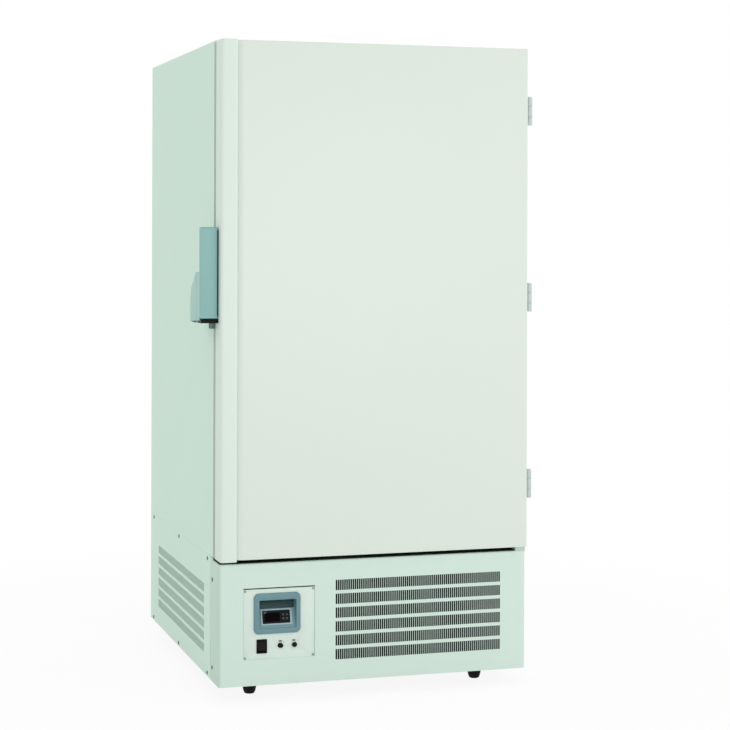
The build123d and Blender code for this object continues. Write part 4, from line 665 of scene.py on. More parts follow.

# %% [markdown]
# Three pieces carry painted shade in their own finish: the padlock lugs under the handle, which lie
# in their own shade, the lever's flanks, which face away from the light, and the returns of the
# base sheet round the corners, which lie in shadow. A second material on some faces would need the
# mesh to be cut there. Instead the base colour is mixed by place: beyond a reach from a centre,
# along one axis, the painted shade takes over.

# %% Painted shade by place


def shade_painted_beyond(material, axis, centre, reach, soft, colour):
    """The base colour gives way to a painted shade where the distance from a centre along one axis
    passes a reach, over a soft width."""
    tree = material.node_tree
    entry = tree.nodes["Principled BSDF"].inputs["Base Color"]
    near = entry.links[0].from_socket
    place = tree.nodes.new("ShaderNodeTexCoord")
    parts = tree.nodes.new("ShaderNodeSeparateXYZ")
    offset = tree.nodes.new("ShaderNodeMath")
    offset.operation = "SUBTRACT"
    offset.inputs[1].default_value = centre
    distance = tree.nodes.new("ShaderNodeMath")
    distance.operation = "ABSOLUTE"
    beyond = tree.nodes.new("ShaderNodeMapRange")
    beyond.interpolation_type = "SMOOTHSTEP"
    beyond.inputs["From Min"].default_value = reach - soft
    beyond.inputs["From Max"].default_value = reach
    mixed = tree.nodes.new("ShaderNodeMix")
    mixed.data_type = "RGBA"
    mixed.inputs["B"].default_value = linear(*colour)
    tree.links.new(place.outputs["Object"], parts.inputs[0])
    tree.links.new(parts.outputs[axis], offset.inputs[0])
    tree.links.new(offset.outputs[0], distance.inputs[0])
    tree.links.new(distance.outputs[0], beyond.inputs["Value"])
    tree.links.new(beyond.outputs["Result"], mixed.inputs["Factor"])
    tree.links.new(near, mixed.inputs["A"])
    tree.links.new(mixed.outputs["Result"], entry)


def half_and_middle(node):
    """Half the width of a node, and the middle of it, along X."""
    low, high = corners_of(node)
    return float(high[0] - low[0]) / 2, float(high[0] + low[0]) / 2


HANDLE_FOOT = 17 * MM
FAR_ABOVE = 3.0
lug_line = corners_of("handle_base")[0][2] + HANDLE_FOOT
# Painted shade on the padlock lugs below the foot of the handle.
shade_painted_beyond(handle_plastic, "Z", FAR_ABOVE, FAR_ABOVE - lug_line, 0.5 * MM, (116, 146, 128))
lever_half, lever_middle = half_and_middle("handle_lever")
# Painted shade on both flanks of the lever.
shade_painted_beyond(lever_plastic, "X", lever_middle, lever_half, 1 * MM, (116, 182, 168))
base_half, base_middle = half_and_middle("base_front_panel")
# Painted shade on the returns of the base sheet round its corners.
shade_painted_beyond(base_paint, "X", base_middle, base_half - 1 * MM, 6 * MM, (201, 226, 211))
print(f"lugs below {lug_line / MM:.0f} mm, lever {lever_half * 2 / MM:.0f} mm wide")

# %% [markdown]
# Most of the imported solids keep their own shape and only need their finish. Each could be dressed
# by a line of its own, but a table of finish and nodes can be read at a glance. The pieces that
# follow then stand for the nodes whose surface needs more.

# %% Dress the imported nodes
dressed = {
    cabinet_paint: ("outer_shell", "back_panel"),
    base_paint: ("base_front_panel", "side_service_panel_left", "side_service_panel_right"),
    chassis_paint: ("base_chassis", "rear_service_panel", "fan_shroud", "electrical_box"),
    plate_paint: ("control_plate",),
    inner_plastic: ("breaker_collar", "door_inner_panel", "inner_door_lower", "inner_door_upper"),
    brushed_liner: ("inner_liner", "shelf_supports", "inner_door_hinges"),
    frosted_shelf: ("shelves",),
    foam_core: ("insulation_foam", "door_foam"),
    copper_tube: ("evaporator_coil", "refrigerant_pipes"),
    door_paint: ("door_outer_panel",),
    edge_moulding: ("door_edge_trim",),
    gasket_rubber_and_shade: ("door_gasket",),
    hinge_metal: ("door_hinge_leaves", "hinge_brackets", "hinge_pins"),
    handle_plastic: ("handle_base", "strike_housing"),
    lever_plastic: ("handle_lever",),
    zinc: (
        "handle_pivot_pin",
        "striker_pin",
        "caster_mounts",
        "caster_fork_left",
        "caster_fork_right",
        "panel_screws",
    ),
    pad_rubber: ("levelling_foot_left", "levelling_foot_right"),
    wheel_rubber: (
        "caster_wheel_front_left",
        "caster_wheel_front_right",
        "caster_wheel_rear_left",
        "caster_wheel_rear_right",
    ),
    bezel_plastic: ("display_bezel",),
    black_plastic_and_shade: (
        "controller_module",
        "power_inlet",
        "switch_housing",
        "rocker",
        "fuse_holders",
        "fuse_cap_left",
        "fuse_cap_right",
        "fan_motor",
        "fan_rotor",
    ),
    key_plastic: ("key_menu", "key_up", "key_alarm", "key_down"),
    fin_metal: ("condenser_coil",),
    pot_enamel: ("compressors",),
    foam_wrap: ("cascade_heat_exchanger",),
}
for material, names in dressed.items():
    for name in names:
        skin = nodes[name].data.materials
        skin.clear()
        skin.append(material)
undressed = set(nodes) - {name for names in dressed.values() for name in names}
print("nodes without a finish:", sorted(undressed))

# %% [markdown]
# The camera comes before the pieces, so that each one can be judged in its frame. The upright
# edges of the freezer stay parallel in the photograph, so the lens was level and was shifted down,
# as an architect's camera is. Tilting the camera would make them lean. It stood about five metres
# off, to the left. Its place, turn and lens come from fitting the freezer's corners.

# %% Camera
CAMERA_PLACE = np.array([-1543.2, -5507.9, 1270.2]) * MM
CAMERA_YAW = math.radians(16.88)
CAMERA_ROLL = 0.003
FOCAL_PIXELS = 1911.6
PICTURE = 730.0
HORIZON_ROW = 231.8
SENSOR_WIDTH = 36.0
camera_data = bpy.data.cameras.new("portrait camera")
camera_data.sensor_width = SENSOR_WIDTH
camera_data.lens = camera_data.sensor_width * FOCAL_PIXELS / PICTURE
camera_data.shift_y = (HORIZON_ROW - PICTURE / 2) / PICTURE
camera_data.clip_end = 60.0
camera = bpy.data.objects.new("portrait camera", camera_data)
bpy.context.scene.collection.objects.link(camera)
camera.matrix_world = (
    Matrix.Translation(CAMERA_PLACE.tolist())
    @ Matrix.Rotation(-CAMERA_YAW, 4, "Z")
    @ Matrix.Rotation(math.pi / 2, 4, "X")
    @ Matrix.Rotation(CAMERA_ROLL, 4, "Z")
)
bpy.context.scene.camera = camera
print(f"lens {camera_data.lens:.1f} mm, shift {camera_data.shift_y:.3f}")

# %% [markdown]
# The base is clad in one folded sheet that wraps round both front corners, with rows of narrow
# upright slots punched through it and its top edge rolled in under the door. A flat sheet could be
# bent by a modifier, but then every slot would have to be placed by trial. Here its measures come
# first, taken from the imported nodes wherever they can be.

# %% Measures of the base sheet
SHEET = 1.5 * MM
SLOT_PITCH = 6.0 * MM
SLOT_WIDTH = 4.8 * MM
ROWS = 6
FRONT_ROW_PITCH = 37.8 * MM
FRONT_ROW_HEIGHT = 28.5 * MM
SIDE_ROW_PITCH = 33.4 * MM
SIDE_ROW_HEIGHT = 24.0 * MM
VENT_LOW = 57.0 * MM
CORNER = 9.0 * MM
ROLL = 4.0 * MM
LEDGE_DROP = 5.5 * MM

wrap_low, wrap_high = corners_of("base_front_panel")
shell_low, shell_high = corners_of("outer_shell")
plate_low, plate_high = corners_of("control_plate")
left, right = wrap_low[0], wrap_high[0]
front, wrap_end = wrap_low[1], wrap_high[1]
bottom, top = wrap_low[2], wrap_high[2]
ledge = top - LEDGE_DROP
PLATE_OVERLAP = 8.0 * MM
TOP_GAP = 3.0 * MM
GRILLE_LEFT = left + 324 * MM
GRILLE_RIGHT = right - 74 * MM
print(f"base {(right - left) / MM:.0f} mm wide, its ledge at {ledge / MM:.1f} mm")

# %% [markdown]
# The flat blank is described by two walks: one round the base from left to right, one up the sheet
# and over the rolled edge. Lines across both walks make the grid, and one function bends every
# crossing to its place in space. So the slots stay even, also close to a corner.

# %% Lines on the blank, and how it bends


def slot_lines(start, end, pitch, width):
    """Both edges of every slot between start and end, and the number of slots."""
    count = int((end - start) / pitch)
    first = (start + end - (count - 1) * pitch) / 2 - width / 2
    edges = first + np.arange(count)[:, None] * pitch + np.array([0, width])
    return edges.reshape(-1), count


def row_lines(pitch, height):
    """Lower and upper edge of each row of slots, counted up from the foot of the base."""
    edges = bottom + VENT_LOW + np.arange(ROWS)[:, None] * pitch + np.array([0, height])
    return edges.reshape(-1)


def inside(lines, low, high):
    """Which cells between neighbouring lines lie between low and high."""
    middles = (lines[:-1] + lines[1:]) / 2
    return (middles > low) & (middles < high)


def slotted(lines, edges):
    """Which cells between neighbouring lines are one of the slots given by their edges."""
    middles = (lines[:-1] + lines[1:]) / 2
    return (np.searchsorted(edges, middles) % 2) == 1


side_run = wrap_end - front - CORNER
corner_run = CORNER * np.pi / 2
front_run = right - left - 2 * CORNER
to_front = side_run + corner_run


def wrap_place(u, v, depth):
    """u walks round the base from the left return to the right one, v walks up the sheet and
    over the rolled edge. At corner angles a and b the outward direction is
    (sin b - cos a, 1 - cos b - sin a), and the roll leans it up by its own angle c."""
    a = np.clip((u - side_run) / CORNER, 0, np.pi / 2)
    along = np.clip(u - to_front, 0, front_run)
    b = np.clip((u - to_front - front_run) / CORNER, 0, np.pi / 2)
    beyond = np.maximum(u - to_front - front_run - corner_run, 0)
    x = left + CORNER * (1 - np.cos(a)) + along + CORNER * np.sin(b)
    y = wrap_end - np.minimum(u, side_run) - CORNER * np.sin(a) + CORNER * (1 - np.cos(b)) + beyond
    out_x, out_y = np.sin(b) - np.cos(a), 1 - np.cos(b) - np.sin(a)
    c = np.clip((v - ledge + ROLL) / ROLL, 0, np.pi / 2)
    over = np.maximum(v - ledge + ROLL - ROLL * np.pi / 2, 0)
    inward = ROLL * (1 - np.cos(c)) + over + depth * np.cos(c)
    z = np.minimum(v, ledge - ROLL) + ROLL * np.sin(c) - depth * np.sin(c)
    return np.stack([x - out_x * inward, y - out_y * inward, z], axis=-1)


def on_front(x):
    """Where a place on the front, given by x, lies along the walk round the base."""
    return to_front + x - left - CORNER


blank_length = 2 * to_front + front_run
print(f"the blank is {blank_length / MM:.0f} mm long")

# %% [markdown]
# Now the sheet itself. Cells inside a slot or behind the control plate are left out of the grid. A
# flat ledge closes the top behind the rolled edge, and two narrow cheeks fill the returns beside
# the cabinet.

# %% The base sheet
UNDER_SHELL = 8 * MM
EDGE_RUN = 2 * MM
grille_edges, grille_count = slot_lines(GRILLE_LEFT, GRILLE_RIGHT, SLOT_PITCH, SLOT_WIDTH)
front_rows = row_lines(FRONT_ROW_PITCH, FRONT_ROW_HEIGHT)
window = [on_front(plate_low[0] + PLATE_OVERLAP), on_front(plate_high[0] - PLATE_OVERLAP)]
window_rows = [plate_low[2] + PLATE_OVERLAP, plate_high[2] - PLATE_OVERLAP + TOP_GAP]
bends = side_run + np.linspace(0, corner_run, 7)
walk = np.unique(
    np.round(
        np.concatenate(
            [[0, side_run], bends, window, on_front(grille_edges)]
            + [bends + corner_run + front_run, [blank_length]]
        ),
        7,
    )
)
roll_rows = ledge - ROLL + np.linspace(0, ROLL * np.pi / 2, 5)
edge_end = [roll_rows[-1] + EDGE_RUN]
climb = np.unique(
    np.round(np.concatenate([[bottom], front_rows, window_rows, roll_rows, edge_end]), 7)
)
slots = slotted(walk, on_front(grille_edges)) & inside(
    walk, on_front(GRILLE_LEFT), on_front(GRILLE_RIGHT)
)
rows = slotted(climb, front_rows) & inside(climb, front_rows[0], front_rows[-1])
holes = slots[:, None] & rows[None, :]
holes |= inside(walk, *window)[:, None] & inside(climb, *window_rows)[None, :]
wrap_sheet = punched_sheet(walk, climb, holes, SHEET, wrap_place)
ledge_loop = np.array(
    [
        [left + SHEET, shell_low[1] + UNDER_SHELL],
        [left + SHEET, front + CORNER],
        [left + CORNER, front + ROLL + EDGE_RUN],
        [right - CORNER, front + ROLL + EDGE_RUN],
        [right - SHEET, front + CORNER],
        [right - SHEET, shell_low[1] + UNDER_SHELL],
    ]
)
ledge_plate = loft(piled([ledge_loop] * 2, [ledge - SHEET, ledge]))
cheek_front = shell_low[1] + SHEET
cheeks = bars(
    [[left, cheek_front, ledge - ROLL], [right - SHEET, cheek_front, ledge - ROLL]],
    [[left + SHEET, wrap_end, top], [right, wrap_end, top]],
)
new_piece(
    "base_wrap",
    joined(wrap_sheet, ledge_plate, cheeks),
    base_paint,
    "cabinet",
    ["base_front_panel"],
)
print(grille_count, "slots in each of", ROWS, "rows on the front")

# %% [markdown]
# Between the sheet and the control plate run thin strips of painted shade: a black one over the
# plate, for the shadow under the sheet's upper edge, and a paler one down each side, for the shade
# along the plate's edges. Behind the slots lies a dark mat, so the eye looks into depth and not at
# the far side of the machine: a filter mat, whose darkness is also painted shade for the inside of
# the machine space. A dark strip on the ledge is painted shade as well, for the shadow in the gap
# under the door. All are small blocks with soft edges, which is enough for things that are seen
# only as lines.

# %% Painted shade strips, filter mat and ledge shade
TOP_SHADE_PROUD = 1.2 * MM
SIDE_SHADE_HALF = 0.8 * MM
MAT_MARGIN = 8 * MM
MAT_THICK = 4 * MM
MAT_EDGE = 1.5 * MM
FRONT_MAT_SETBACK = 8 * MM
STRIP_INSET = 3 * MM
# A black strip over the plate: painted shade for the shadow under the sheet's upper edge.
top_shade_low = [plate_low[0] + PLATE_OVERLAP, plate_low[1] - TOP_SHADE_PROUD, plate_high[2] - PLATE_OVERLAP]
top_shade_high = [plate_high[0] - PLATE_OVERLAP, plate_low[1], top_shade_low[2] + TOP_GAP]
new_piece(
    "plate_top_shade_strip",
    strip(top_shade_low, top_shade_high, 0.5 * MM),
    black_plastic_and_shade,
    "cabinet",
)
# Paler lines down each side of the plate: painted shade along its edges.
side_shade_lines = [
    strip(
        [x - SIDE_SHADE_HALF, plate_low[1] - 0.5 * MM, plate_low[2] + PLATE_OVERLAP],
        [x + SIDE_SHADE_HALF, plate_low[1] + 0.4 * MM, top_shade_low[2]],
        0.3 * MM,
    )
    for x in (top_shade_low[0], top_shade_high[0])
]
new_piece("plate_side_shade_lines", joined(*side_shade_lines), gasket_rubber_and_shade, "cabinet")
# The dark mat behind the front slots is partly painted shade, for the shade inside the machine
# space.
mat_front = front + FRONT_MAT_SETBACK
front_mat = strip(
    [GRILLE_LEFT - MAT_MARGIN / 2, mat_front, front_rows[0] - MAT_MARGIN],
    [GRILLE_RIGHT + MAT_MARGIN, mat_front + MAT_THICK, front_rows[-1] + MAT_MARGIN],
    MAT_EDGE,
)
new_piece("front_filter_mat", front_mat, filter_mat_and_shade, "cabinet")
# The dark strip on the ledge is painted shade for the shadow in the gap under the door.
strip_loop = drawn_in(ledge_loop, STRIP_INSET)
new_piece(
    "ledge_shade_strip",
    soft_block(strip_loop, ledge - 0.2 * MM, ledge + 2 * MM, 0, 0.8 * MM),
    ledge_gap_shade,
    "cabinet",
)

# %% [markdown]
# The sides of the machine space are closed by flat screwed panels. They are punched like the front
# but with wider slots, and each has a mat behind it. The same grid tool makes them, from the
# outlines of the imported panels.

# %% Side service panels
VENT_START = 200 * MM
VENT_BACK_MARGIN = 124 * MM
SIDE_SLOT_PITCH = 9 * MM
SIDE_SLOT_WIDTH = 6.1 * MM
SIDE_MAT_SETBACK = 7 * MM
SEAM = 3 * MM


def upright_place(x, inward):
    """How a flat side sheet lies in space: u runs back, v runs up, depth runs inward from x."""
    return lambda u, v, depth: np.stack([x + inward * depth + 0 * u, u, v], axis=-1)


side_rows = row_lines(SIDE_ROW_PITCH, SIDE_ROW_HEIGHT)
door_low, door_high = corners_of("door_outer_panel")
for side, x, sign in (("left", left, 1), ("right", right, -1)):
    name = f"side_service_panel_{side}"
    low, high = corners_of(name)
    edges, count = slot_lines(
        door_low[1] + VENT_START, high[1] - VENT_BACK_MARGIN, SIDE_SLOT_PITCH, SIDE_SLOT_WIDTH
    )
    along = np.unique(np.round(np.concatenate([[low[1] + SEAM, high[1]], edges]), 7))
    climb = np.unique(np.round(np.concatenate([[bottom, high[2]], side_rows]), 7))
    holes = slotted(along, edges)[:, None] & slotted(climb, side_rows)[None, :]
    sheet = punched_sheet(along, climb, holes, SHEET, upright_place(x, sign))
    new_piece(f"side_vent_panel_{side}", sheet, cabinet_paint, "cabinet", [name])
    # The dark mat behind the side slots is partly painted shade, for the shade inside the machine
    # space.
    mat_face = x + sign * SIDE_MAT_SETBACK
    mat_start, mat_end = sorted([mat_face, mat_face + sign * MAT_THICK])
    mat = strip(
        [mat_start, edges[0] - MAT_MARGIN, side_rows[0] - MAT_MARGIN],
        [mat_end, edges[-1] + MAT_MARGIN, side_rows[-1] + MAT_MARGIN],
        MAT_EDGE,
    )
    new_piece(f"side_filter_mat_{side}", mat, filter_mat_and_shade, "cabinet")
    print(count, "slots a row on the", side)

# %% [markdown]
# The shell's lower edges are rounded, which leaves a groove between the shell and each side panel.
# On the real cabinet the fold of the sheet fills it and only a faint line stays. A thin painted
# bead does the same: it is sunk a little, so the line remains but shows no dark gap.

# %% Seam beads over the side panels
BEAD_SUNK = 0.3 * MM
BEAD_HIGH = 3.2 * MM
beads = []
seam_low, seam_high = corners_of("side_service_panel_right")
for x, sign in ((left, 1), (right, -1)):
    bead_start, bead_end = sorted([x + sign * BEAD_SUNK, x + sign * 2 * MM])
    beads.append(
        strip(
            [bead_start, seam_low[1] + SEAM, shell_low[2] - 0.2 * MM],
            [bead_end, seam_high[1] - 1 * MM, shell_low[2] + BEAD_HIGH],
            0.3 * MM,
        )
    )
new_piece("side_seam_beads", joined(*beads), cabinet_paint, "cabinet")

# %% [markdown]
# The door is a foamed pan of painted steel. A box with a bevel would round all its edges alike,
# but this pan is swept in at the left and folded at the right. So its section seen from above is
# drawn once and carried up the door, and its ends are rolled over with a small radius, because
# that thin bright line is what tells the eye that the sheet is folded.

# %% Door skin
ROLL_WIDTH = 17 * MM
ROLL_DEPTH = 7 * MM
PANEL_EDGE = 5 * MM
SKIN_END = 3 * MM


def quarter(centre, radius, start, steps=8):
    """A quarter circle from angle start, counter-clockwise, centre and radius given per axis."""
    a = np.radians(start) + np.linspace(0, np.pi / 2, steps)
    return np.asarray(centre) + np.stack([np.cos(a), np.sin(a)], -1) * radius


skin_left = door_low[0]
skin_right = door_high[0]
skin_front, skin_back = door_low[1], door_high[1]
swell = np.linspace(0, 1, 10)
roll_in = np.stack(
    [skin_left + ROLL_WIDTH * swell, skin_front + ROLL_DEPTH * (1 - swell) ** 2], axis=-1
)
door_section = np.concatenate(
    [
        [[skin_left, skin_back]],
        roll_in,
        quarter([skin_right - PANEL_EDGE, skin_front + PANEL_EDGE], PANEL_EDGE, -90),
        [[skin_right, skin_back]],
    ]
)
new_piece(
    "door_skin",
    soft_block(door_section, door_low[2], door_high[2], SKIN_END, SKIN_END),
    door_paint,
    "door",
    ["door_outer_panel"],
)

# %% [markdown]
# Down the handle side runs a separate moulding. Its face rises to a ridge and falls away towards
# the painted skin, which shows as one soft highlight from top to bottom. The fall follows a
# quarter of an ellipse, so the section stays a handful of points.

# %% Edge moulding
trim_low, trim_high = corners_of("door_edge_trim")
TRIM_RIDGE = 37 * MM
TRIM_CORNER = 9 * MM
SEAL_STEP = 11 * MM
TRIM_FALL = 6 * MM
TRIM_END = 2.5 * MM
crown = np.linspace(0, np.pi / 2, 9)
trim_left, trim_right = trim_low[0], trim_high[0]
trim_front = trim_low[1]
trim_section = np.concatenate(
    [
        [[trim_right, skin_back - SEAL_STEP], [trim_left, skin_back - SEAL_STEP]],
        quarter([trim_left + TRIM_CORNER, trim_front + TRIM_CORNER], TRIM_CORNER, 180),
        np.stack(
            [
                trim_left + TRIM_RIDGE + (trim_right - trim_left - TRIM_RIDGE) * np.sin(crown),
                trim_front + TRIM_FALL * (1 - np.cos(crown)),
            ],
            axis=-1,
        ),
    ]
)
new_piece(
    "door_moulding",
    soft_block(trim_section, trim_low[2], trim_high[2], TRIM_END, TRIM_END),
    edge_moulding,
    "door",
    ["door_edge_trim"],
)

# %% [markdown]
# The gasket is one extruded rubber profile, mitred and welded at its four corners. A curve with a
# bevel object may pinch at such tight corners. So its mesh is the profile at the four corners,
# with each point pushed in by its own distance from the edge. The profile has three lobes, each
# given by where it starts, half its width and how far it bulges.

# %% Gasket
GASKET_WIDTH = 30 * MM
LOBES = ((0.0, 5 * MM, 0.44), (11 * MM, 4 * MM, 0.3), (20 * MM, 5 * MM, 0.44))
gasket_low, gasket_high = corners_of("door_gasket")
bulge = np.linspace(0, np.pi, 7)
depth = gasket_high[1] - gasket_low[1]
lobes = [
    np.stack([start + half * (1 - np.cos(bulge)), depth * (0.55 + reach * np.sin(bulge))], -1)
    for start, half, reach in LOBES
]
gasket_profile = np.concatenate([[[0, 0]], *lobes, [[GASKET_WIDTH, 0]]])
corner_signs = np.array([[1, 1], [-1, 1], [-1, -1], [1, -1]])
outer_corners = np.array(
    [
        [gasket_low[0], gasket_low[2]],
        [gasket_high[0], gasket_low[2]],
        [gasket_high[0], gasket_high[2]],
        [gasket_low[0], gasket_high[2]],
    ]
)
flat = outer_corners[:, None, :] + corner_signs[:, None, :] * gasket_profile[None, :, :1]
deep = np.broadcast_to(gasket_low[1] + gasket_profile[None, :, 1], flat.shape[:2])
new_piece(
    "door_seal",
    loft(np.stack([flat[..., 0], deep, flat[..., 1]], axis=-1), path_closed=True),
    gasket_rubber_and_shade,
    "door",
    ["door_gasket"],
    sharp=50,
)

# %% [markdown]
# Behind the gasket the door is lined with one vacuum formed sheet. It lies flat under the gasket
# and rises into a drafted plug that fills the opening, with soft radii where it turns, because a
# heated sheet can't follow a sharp corner. Bevels on a box would not give the draft, so a pile of
# rounded rectangles makes all of it, from the rim in front to the sunk field at the back.

# %% Door liner
WALL = 138 * MM
RIM_EDGE = 0.8 * MM
FORM_RADIUS = 9 * MM
PLUG_CORNER = 20 * MM
PLUG_DRAFT = 3 * MM
FIELD_CORNER = 24 * MM
FIELD_INSET = 70 * MM
FIELD_SLOPE = 8 * MM
FIELD_SINK = 1.5 * MM
panel_low, panel_high = corners_of("door_inner_panel")
rim_y = panel_low[1] + 2.5 * MM
plug_y = panel_high[1]
plug_low = np.array([panel_low[0], shell_low[2]]) + WALL
plug_high = np.array([panel_high[0], shell_high[2]]) - WALL
panel_size, panel_middle = (panel_high - panel_low)[[0, 2]], ((panel_low + panel_high) / 2)[[0, 2]]
plug_size, plug_middle = plug_high - plug_low, (plug_low + plug_high) / 2


def front_ring(loop, y):
    """A loop seen from the front, at depth y, which may differ from point to point."""
    return np.column_stack([loop[:, 0], np.broadcast_to(y, len(loop)), loop[:, 1]])


def plug_ring(grow, y):
    """The outline of the plug at depth y, grown outwards by a distance, its corners with it."""
    loop = rounded_rectangle(*(plug_size + 2 * grow), PLUG_CORNER + grow, 8, plug_middle)
    return front_ring(loop, y)


edge = [(0.0, panel_low[1]), (0.0, rim_y - RIM_EDGE), (RIM_EDGE, rim_y)]
rings = [
    front_ring(rounded_rectangle(*(panel_size - 2 * inset), 2 * MM, 8, panel_middle), y)
    for inset, y in edge
]
turn = np.linspace(0, np.pi / 2, 6)
rings += [
    plug_ring(FORM_RADIUS * (1 - np.sin(a)), rim_y + FORM_RADIUS * (1 - np.cos(a))) for a in turn
]
rings += [
    plug_ring(-PLUG_DRAFT - FORM_RADIUS * (1 - np.cos(a)), plug_y - FORM_RADIUS * (1 - np.sin(a)))
    for a in turn
]
for t in np.linspace(0, 1, 6):
    field_size = plug_size - 2 * (FIELD_INSET + FIELD_SLOPE * t)
    field = rounded_rectangle(*field_size, FIELD_CORNER, 8, plug_middle)
    rings.append(front_ring(field, plug_y - FIELD_SINK * (3 * t**2 - 2 * t**3)))
new_piece(
    "door_liner",
    loft(rings),
    inner_plastic,
    "door",
    ["door_inner_panel"],
    sharp=50,
)

# %% [markdown]
# Beside the handle a soft grey line shows between moulding and cabinet: partly the outer fold of
# the gasket, partly painted shade for the shadow in the gap there. It could be a fold of the
# gasket's own profile, but it shows on this side only, so it is a strip of its own with well
# rounded edges.

# %% Edge of the gasket at the handle side
EDGE_INSET = 1.2 * MM
EDGE_WIDTH = 9 * MM
EDGE_TUCK = 0.3 * MM
EDGE_CLEARANCE = 0.4 * MM
EDGE_END = 2 * MM
edge_front = skin_back - SEAL_STEP - EDGE_TUCK
edge_back = shell_low[1] - EDGE_CLEARANCE
strip_section = rounded_rectangle(
    EDGE_WIDTH,
    edge_back - edge_front,
    3.5 * MM,
    5,
    [trim_left + EDGE_INSET + EDGE_WIDTH / 2, (edge_front + edge_back) / 2],
)
# The strip is partly gasket, partly painted shade for the gap beside the handle.
new_piece(
    "seal_edge",
    soft_block(strip_section, door_low[2] + EDGE_END, door_high[2] - EDGE_END, EDGE_END, EDGE_END),
    gasket_rubber_and_shade,
    "door",
)

# %% [markdown]
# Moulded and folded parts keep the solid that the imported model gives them, with its bores, lugs
# and hollows, and only lose their knife edges. Modelling them anew would gain nothing. The lever
# is a thin channel that hangs over a base on the door, beside a wedge shaped strike on the
# cabinet. Moulded plastic gets wide soft edges, folded steel narrow ones.

# %% Handle, hinges, casters and inner fittings with soft edges
softened("lever", "handle_lever", lever_plastic, 1.2 * MM)
softened("lever_base", "handle_base", handle_plastic, 0.8 * MM)
softened("strike", "strike_housing", handle_plastic, 1.0 * MM)
softened("rocker_switch", "rocker", black_plastic_and_shade, 0.8 * MM)
softened("switch_frame", "switch_housing", black_plastic_and_shade, 0.6 * MM)
softened("hinge_straps", "hinge_brackets", hinge_metal, 0.6 * MM, 2)
softened("hinge_leaves", "door_hinge_leaves", hinge_metal, 0.5 * MM, 2)
softened("front_plate", "control_plate", plate_paint, 0.3 * MM, 2)
softened("upper_inner_door", "inner_door_upper", inner_plastic, 2 * MM)
softened("lower_inner_door", "inner_door_lower", inner_plastic, 2 * MM)
softened("folded_shelves", "shelves", frosted_shelf, 0.5 * MM, 2)
softened("rear_cover", "rear_service_panel", chassis_paint, 0.4 * MM, 2)

# %% [markdown]
# Two small things belong to the strike. A lip carries its surface on to the base, so that no slit
# shows beside the lever, and a thin black strip along its foot is painted shadow, for the shade
# under the strike. Both are outlines drawn over depth and height and raised a little to the left,
# which is all that the camera can see of them.

# %% Lip of the strike and painted shadow at its foot
LIP = 2 * MM
LIP_SETBACK = 2 * MM
LIP_DROP = 0.3 * MM
LIP_LAP = 0.5 * MM
SHADOW_FRONT, SHADOW_BACK = 4.5 * MM, 1.2 * MM
SHADOW_START, SHADOW_END = 1 * MM, 62 * MM
SHADOW_THICK = 0.7 * MM
SHADOW_SUNK = 0.1 * MM
RAISED_LEFT = LEFT * [[-1], [1], [1]]
base_low, base_high = corners_of("handle_base")
strike_low, strike_high = corners_of("strike_housing")
strike_foot = strike_low[2] + HANDLE_FOOT
lip_outline = np.array(
    [
        [strike_low[1] + LIP_SETBACK, strike_foot],
        [strike_low[1] + LIP_SETBACK, strike_high[2] - LIP_DROP],
        [base_high[1] + LIP_LAP, strike_high[2] - LIP_DROP],
        [base_high[1] + LIP_LAP, strike_foot],
    ]
)
lip_origin = (strike_low[0] + LIP, 0, 0)
new_piece(
    "strike_lip",
    soft_block(lip_outline, 0.0, LIP, 0, 0.5 * MM, RAISED_LEFT, lip_origin),
    handle_plastic,
    "cabinet",
)
# The black strip along the strike's foot is painted shadow.
shadow_outline = np.array(
    [
        [strike_low[1] + SHADOW_START, strike_foot],
        [strike_low[1] + SHADOW_START, strike_foot + SHADOW_FRONT],
        [strike_low[1] + SHADOW_END, strike_foot + SHADOW_BACK],
        [strike_low[1] + SHADOW_END, strike_foot],
    ]
)
shadow_origin = (strike_low[0] + SHADOW_SUNK, 0, 0)
new_piece(
    "strike_shadow_strip",
    soft_block(shadow_outline, 0.0, SHADOW_THICK, 0, 0.3 * MM, RAISED_LEFT, shadow_origin),
    black_plastic_and_shade,
    "cabinet",
)

# %% [markdown]
# Two more belong to the lever, and both are painted shade. A dark strip along its inner edge stands
# for the shadow in the gap between lever and moulding. A black cap on the door fills the hollow
# under its heel, whose inside lies in shadow: the cap's inner face is an arc round the pivot, a
# little wider than the path of the heel, so the lever still swings free. A plain block there would
# be struck by the heel.

# %% Painted shade along the lever and under its heel
LEVER_SHADE_PROUD = 0.4 * MM
LEVER_SHADE_DEEP = 20 * MM
HEEL_CLEARANCE = 1.2 * MM
CAP_TUCK = 0.3 * MM
CAP_PROUD = 0.4 * MM
CAP_BACK = 5 * MM
ARC_END = math.radians(100)
lever_low, lever_high = corners_of("handle_lever")
lever_front = lever_low[1] - LEVER_SHADE_PROUD
